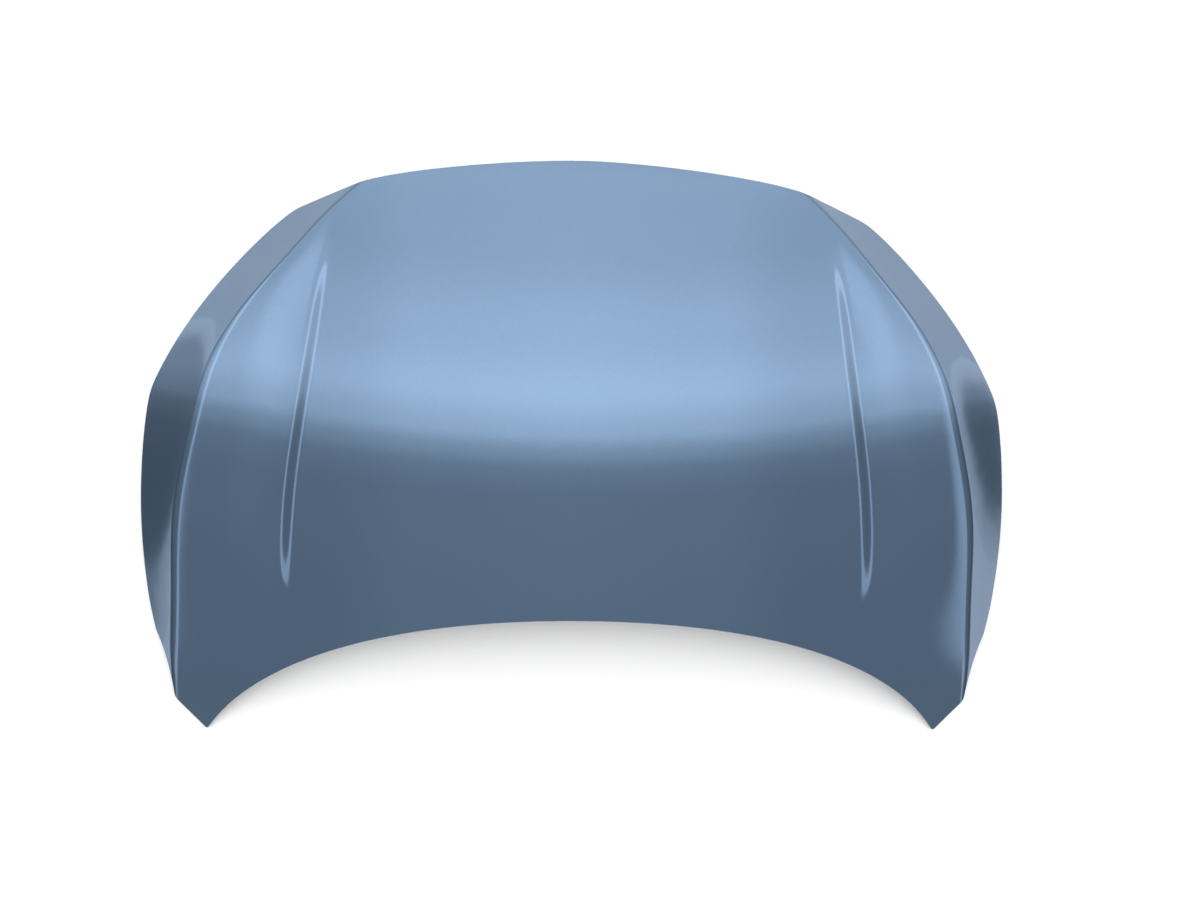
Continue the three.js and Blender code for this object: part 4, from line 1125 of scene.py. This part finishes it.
def make_fitting(name, seat, shift, rounded, plain=(), edge_round=0.35, turn=0.0):
    """A fitting in a seat's frame: shells whose edges are rounded, and plain shells that stay as they are."""
    shape = bmesh.new()

    def add(shell):
        points, faces = shell
        made = [shape.verts.new(point) for point in points]
        for face in faces:
            shape.faces.new([made[i] for i in face])

    for shell in rounded:
        add(shell)
    sharp = [edge for edge in shape.edges if edge.calc_face_angle(0) > SHARP_ANGLE]
    bmesh.ops.bevel(
        shape, geom=sharp, offset=edge_round, segments=2, profile=0.5, affect="EDGES", clamp_overlap=True,
    )
    for shell in plain:
        add(shell)
    bmesh.ops.recalc_face_normals(shape, faces=shape.faces)
    mesh = bpy.data.meshes.new(f"shaped_{name}")
    shape.to_mesh(mesh)
    shape.free()
    local = np.zeros(len(mesh.vertices) * 3)
    mesh.vertices.foreach_get("co", local)
    local = local.reshape(-1, 3)
    cos, sin = math.cos(turn), math.sin(turn)
    local = local @ np.array([[cos, sin, 0], [-sin, cos, 0], [0, 0, 1]]) + shift
    mesh.vertices.foreach_set("co", ((seat.lift(local) + CROWN_PLACE) * MM).ravel())
    mesh.shade_smooth()
    mesh.set_sharp_from_angle(angle=SHADED_SHARP_ANGLE)
    finish = finish_of(name)
    mesh.materials.append(materials[finish])
    piece = bpy.data.objects.new(f"shaped_{name}", mesh)
    bpy.context.scene.collection.objects.link(piece)
    piece.modifiers.new("flat_faces", "WEIGHTED_NORMAL").keep_sharp = True
    dress(piece, finish, name)


def plate(size, margin, holes, thickness):
    """A plate with rounded corners, set in by a margin from the size given."""
    border = rectangle([length - 2 * margin for length in size], PLATE_CORNER, PLATE_STEP)
    return extruded(border, holes, 0, thickness)


def make_fittings():
    nut = extruded(hexagon(NUT_WIDTH), [circle(BOLT_THREAD / 2 + THREAD_CLEARANCE)], 0, NUT_HEIGHT)
    for side in ("left", "right"):
        seat = seats[f"hinge_{side}"]
        backing = plate(HINGE_PAD, BACKING_MARGIN, seat.holes, HINGE_PLATE)
        make_fitting(f"hinge_reinforcement_{side}", seat, (0, 0, SEAT_GAP), [backing])
        for end, name in ((-1, "rear"), (1, "nose")):
            shift = (0, end * HINGE_BOLT_SPACING / 2, 2 * SEAT_GAP + HINGE_PLATE)
            make_fitting(f"hinge_nut_{side}_{name}", seat, shift, [nut], edge_round=NUT_ROUND)

    seat = seats["striker"]
    top = -SHEET - SEAT_GAP
    bottom = top - STRIKER_PLATE
    backing = plate(STRIKER_PAD, BACKING_MARGIN, seat.holes, STRIKER_BACKING)
    make_fitting("striker_reinforcement", seat, (0, 0, SEAT_GAP), [backing])
    legs = [(side * STRIKER_LEG_SPACING / 2, 0) for side in (-1, 1)]
    leg_holes = [circle(STRIKER_ROD / 2 + THREAD_CLEARANCE, middle=leg) for leg in legs]
    front = plate(STRIKER_PLATE_SIZE, 0, seat.holes + leg_holes, STRIKER_PLATE)
    make_fitting("striker_plate", seat, (0, 0, bottom), [front], edge_round=0.5)
    weld = [(STRIKER_ROD / 2 + out, up) for out, up in WELD_PROFILE]
    welds = [turned(weld, leg, closed=True) for leg in legs]
    make_fitting("striker_loop", seat, (0, 0, bottom), [bent_rod()], welds, edge_round=0.6)
    shank = STRIKER_PLATE + SHEET + STRIKER_BACKING + NUT_HEIGHT + 4 * SEAT_GAP + BOLT_END
    rim, face = BOLT_FLANGE / 2, -BOLT_FLANGE_HEIGHT
    flange = turned([(0, face), (rim - BOLT_FLANGE_SLOPE, face), (rim, -BOLT_FLANGE_RIM), (rim, 0), (0, 0)])
    head = extruded(hexagon(BOLT_HEAD_WIDTH), [], face - BOLT_HEAD_HEIGHT, face + BOLT_HEAD_SINK)
    thread = threaded_rod(BOLT_THREAD / 2, shank)
    for side, name in ((-1, "left"), (1, "right")):
        x = side * STRIKER_BOLT_SPACING / 2
        nut_shift = (x, 0, 2 * SEAT_GAP + STRIKER_BACKING)
        make_fitting(f"striker_nut_{name}", seat, nut_shift, [nut], edge_round=NUT_ROUND)
        make_fitting(f"striker_bolt_{name}", seat, (x, 0, bottom - SEAT_GAP), [flange, head], [thread])

    buffer = turned([
        (0, top - BUFFER_HEIGHT), (BUFFER_RADIUS - BUFFER_CHAMFER, top - BUFFER_HEIGHT),
        (BUFFER_RADIUS, top - BUFFER_HEIGHT + BUFFER_CHAMFER), (BUFFER_RADIUS, top), (BUFFER_STEM, top),
        (BUFFER_STEM, SEAT_GAP), (BUFFER_BARB, SEAT_GAP), (BUFFER_STEM - 1, SEAT_GAP + BUFFER_BARB_HEIGHT),
        (0, SEAT_GAP + BUFFER_BARB_HEIGHT),
    ])
    for name, seat in seats.items():
        if name.startswith("buffer"):
            make_fitting(name, seat, (0, 0, 0), [buffer], edge_round=0.5)


def make_mastic():
    """One dab on the land behind each opening."""
    for number, (name, corners) in enumerate(openings.items()):
        across = corners[1] - corners[0]
        across /= np.linalg.norm(across)
        middle = (corners[0] + corners[1]) / 2 + np.array([across[1], -across[0]]) * LAND_WIDTH / 2
        seat = Seat(middle, LAND_DEPTH)
        height = LAND_DEPTH * seat.normal[2] - SHEET - SEAT_GAP - MASTIC_TOP_GAP
        dab = lump(MASTIC_SIZE, height, number)
        turn = math.atan2(across[1], across[0])
        make_fitting(f"mastic_{name}", seat, (0, 0, SEAT_GAP), [], [dab], turn=turn)


make_fittings()
make_mastic()


# Camera, as in the photograph.

FOCAL_LENGTH = 31.5
SENSOR_WIDTH = 36
CAMERA_PLACE = Vector((-0.05232, 0.09832, 1.84442))
CAMERA_PITCH = -0.05130996
CAMERA_YAW = -0.04714012
CAMERA_ROLL = 0.01524873

camera = bpy.data.objects.new("camera", bpy.data.cameras.new("camera"))
camera.data.lens = FOCAL_LENGTH
camera.data.sensor_width = SENSOR_WIDTH
facing = Matrix.Rotation(CAMERA_PITCH, 4, "X") @ Matrix.Rotation(CAMERA_YAW, 4, "Y")
facing = facing @ Matrix.Rotation(CAMERA_ROLL, 4, "Z")
camera.matrix_world = Matrix.Translation(CAMERA_PLACE) @ facing
bpy.context.scene.collection.objects.link(camera)
bpy.context.scene.camera = camera


# Floor.

FLOOR_HALF = 12.0
FLOOR_SINK = 0.0003


def arithmetic(tree, operation, *values):
    return node(tree, "ShaderNodeMath", dict(enumerate(values)), operation=operation).outputs[0]


def seen_directly(tree):
    """1 for what the camera, a mirror or glass shows, 0 for light that bounces on."""
    path = node(tree, "ShaderNodeLightPath").outputs
    either = arithmetic(tree, "MAXIMUM", path["Is Camera Ray"], path["Is Glossy Ray"])
    return arithmetic(tree, "MAXIMUM", either, path["Is Transmission Ray"])


def floor_material():
    material, tree = new_material("pale_floor")
    colour = mix_colours(tree, seen_directly(tree), (0.82, 0.82, 0.82, 1), (1.0, 1.0, 1.0, 1))
    shade(tree, base_color=colour, roughness=0.9, specular_ior_level=0.0)
    return material


def make_floor():
    corners = [(-1, -1), (1, -1), (1, 1), (-1, 1)]
    mesh = bpy.data.meshes.new("floor")
    mesh.from_pydata([(x * FLOOR_HALF, y * FLOOR_HALF, -FLOOR_SINK) for x, y in corners], [], [(0, 1, 2, 3)])
    mesh.materials.append(floor_material())
    floor = bpy.data.objects.new("floor", mesh)
    bpy.context.scene.collection.objects.link(floor)
    return floor


make_floor()


# Light: a broad soft sky, bright over the nose half and dim over the rear half, a soft strip to either side,
# and a pale cove round the floor.

# Levels against (direction along Y + 1) / 2, against its reach to either side, and against its height.
SKY_ALONG = [
    (0, 0.57), (0.28, 0.62), (0.44, 0.68), (0.475, 0.82), (0.5, 1.3), (0.525, 2.2), (0.575, 2.75),
    (0.65, 2.4), (0.75, 2.0), (0.9, 1.95), (1, 1.9),
]
SKY_ACROSS = [(0, 1), (0.3, 0.95), (0.5, 0.8), (0.7, 0.78), (0.85, 0.68), (0.93, 0.62), (1, 0.55)]
SKY_UPWARD = [(0, 0.45), (0.12, 0.52), (0.26, 0.95), (0.4, 1), (1, 1)]
COVE = [(0, 0.9), (0.02, 0.8), (0.045, 0), (1, 0)]
STRIPS_ACROSS = [(0, 0), (0.69, 0), (0.745, 1), (0.8, 1), (0.86, 0), (1, 0)]
STRIPS_UPWARD = [(0, 0), (0.2, 0), (0.3, 1), (1, 1)]
STRIP_LEVEL = 0.9
SKY_TOP = 3.0
EDGE_LEAN = -0.08


def ramp(tree, share, stops, top=1):
    """A smooth ramp of levels of up to `top`."""
    made = node(tree, "ShaderNodeValToRGB", {"Fac": share})
    band = made.color_ramp
    band.interpolation = "EASE"
    while len(band.elements) < len(stops):
        band.elements.new(0.5)
    for element, (at, level) in zip(band.elements, stops):
        element.position = at
        element.color = (level / top, level / top, level / top, 1)
    return made.outputs["Color"]


def make_sky():
    world = bpy.data.worlds.new("studio")
    bpy.context.scene.world = world
    world.use_nodes = True
    tree = world.node_tree
    tree.nodes.clear()
    direction = node(tree, "ShaderNodeTexCoord").outputs["Generated"]
    axes = node(tree, "ShaderNodeSeparateXYZ", {"Vector": direction})
    up = axes.outputs["Z"]
    across = arithmetic(tree, "ABSOLUTE", axes.outputs["X"])
    squared = arithmetic(tree, "MULTIPLY", across, across)
    lean = arithmetic(tree, "MULTIPLY_ADD", squared, EDGE_LEAN, 0.5)
    along = arithmetic(tree, "MULTIPLY_ADD", axes.outputs["Y"], 0.5, lean)
    level = arithmetic(tree, "MULTIPLY", ramp(tree, across, SKY_ACROSS), ramp(tree, up, SKY_UPWARD))
    level = arithmetic(tree, "MULTIPLY", level, ramp(tree, along, SKY_ALONG, SKY_TOP))
    strips = arithmetic(tree, "MULTIPLY", ramp(tree, across, STRIPS_ACROSS), ramp(tree, up, STRIPS_UPWARD))
    edges = arithmetic(tree, "MULTIPLY_ADD", strips, STRIP_LEVEL, ramp(tree, up, COVE))
    strength = arithmetic(tree, "MULTIPLY_ADD", level, SKY_TOP, edges)
    light = node(tree, "ShaderNodeBackground", {"Color": (1, 1, 1, 1), "Strength": strength})
    pale = node(tree, "ShaderNodeBackground", {"Color": (1, 1, 1, 1), "Strength": 1.0})
    seen = node(tree, "ShaderNodeLightPath").outputs["Is Camera Ray"]
    both = node(tree, "ShaderNodeMixShader", {0: seen, 1: light.outputs[0], 2: pale.outputs[0]})
    node(tree, "ShaderNodeOutputWorld", {"Surface": both.outputs[0]})


make_sky()
bpy.context.scene.view_settings.view_transform = "Standard"
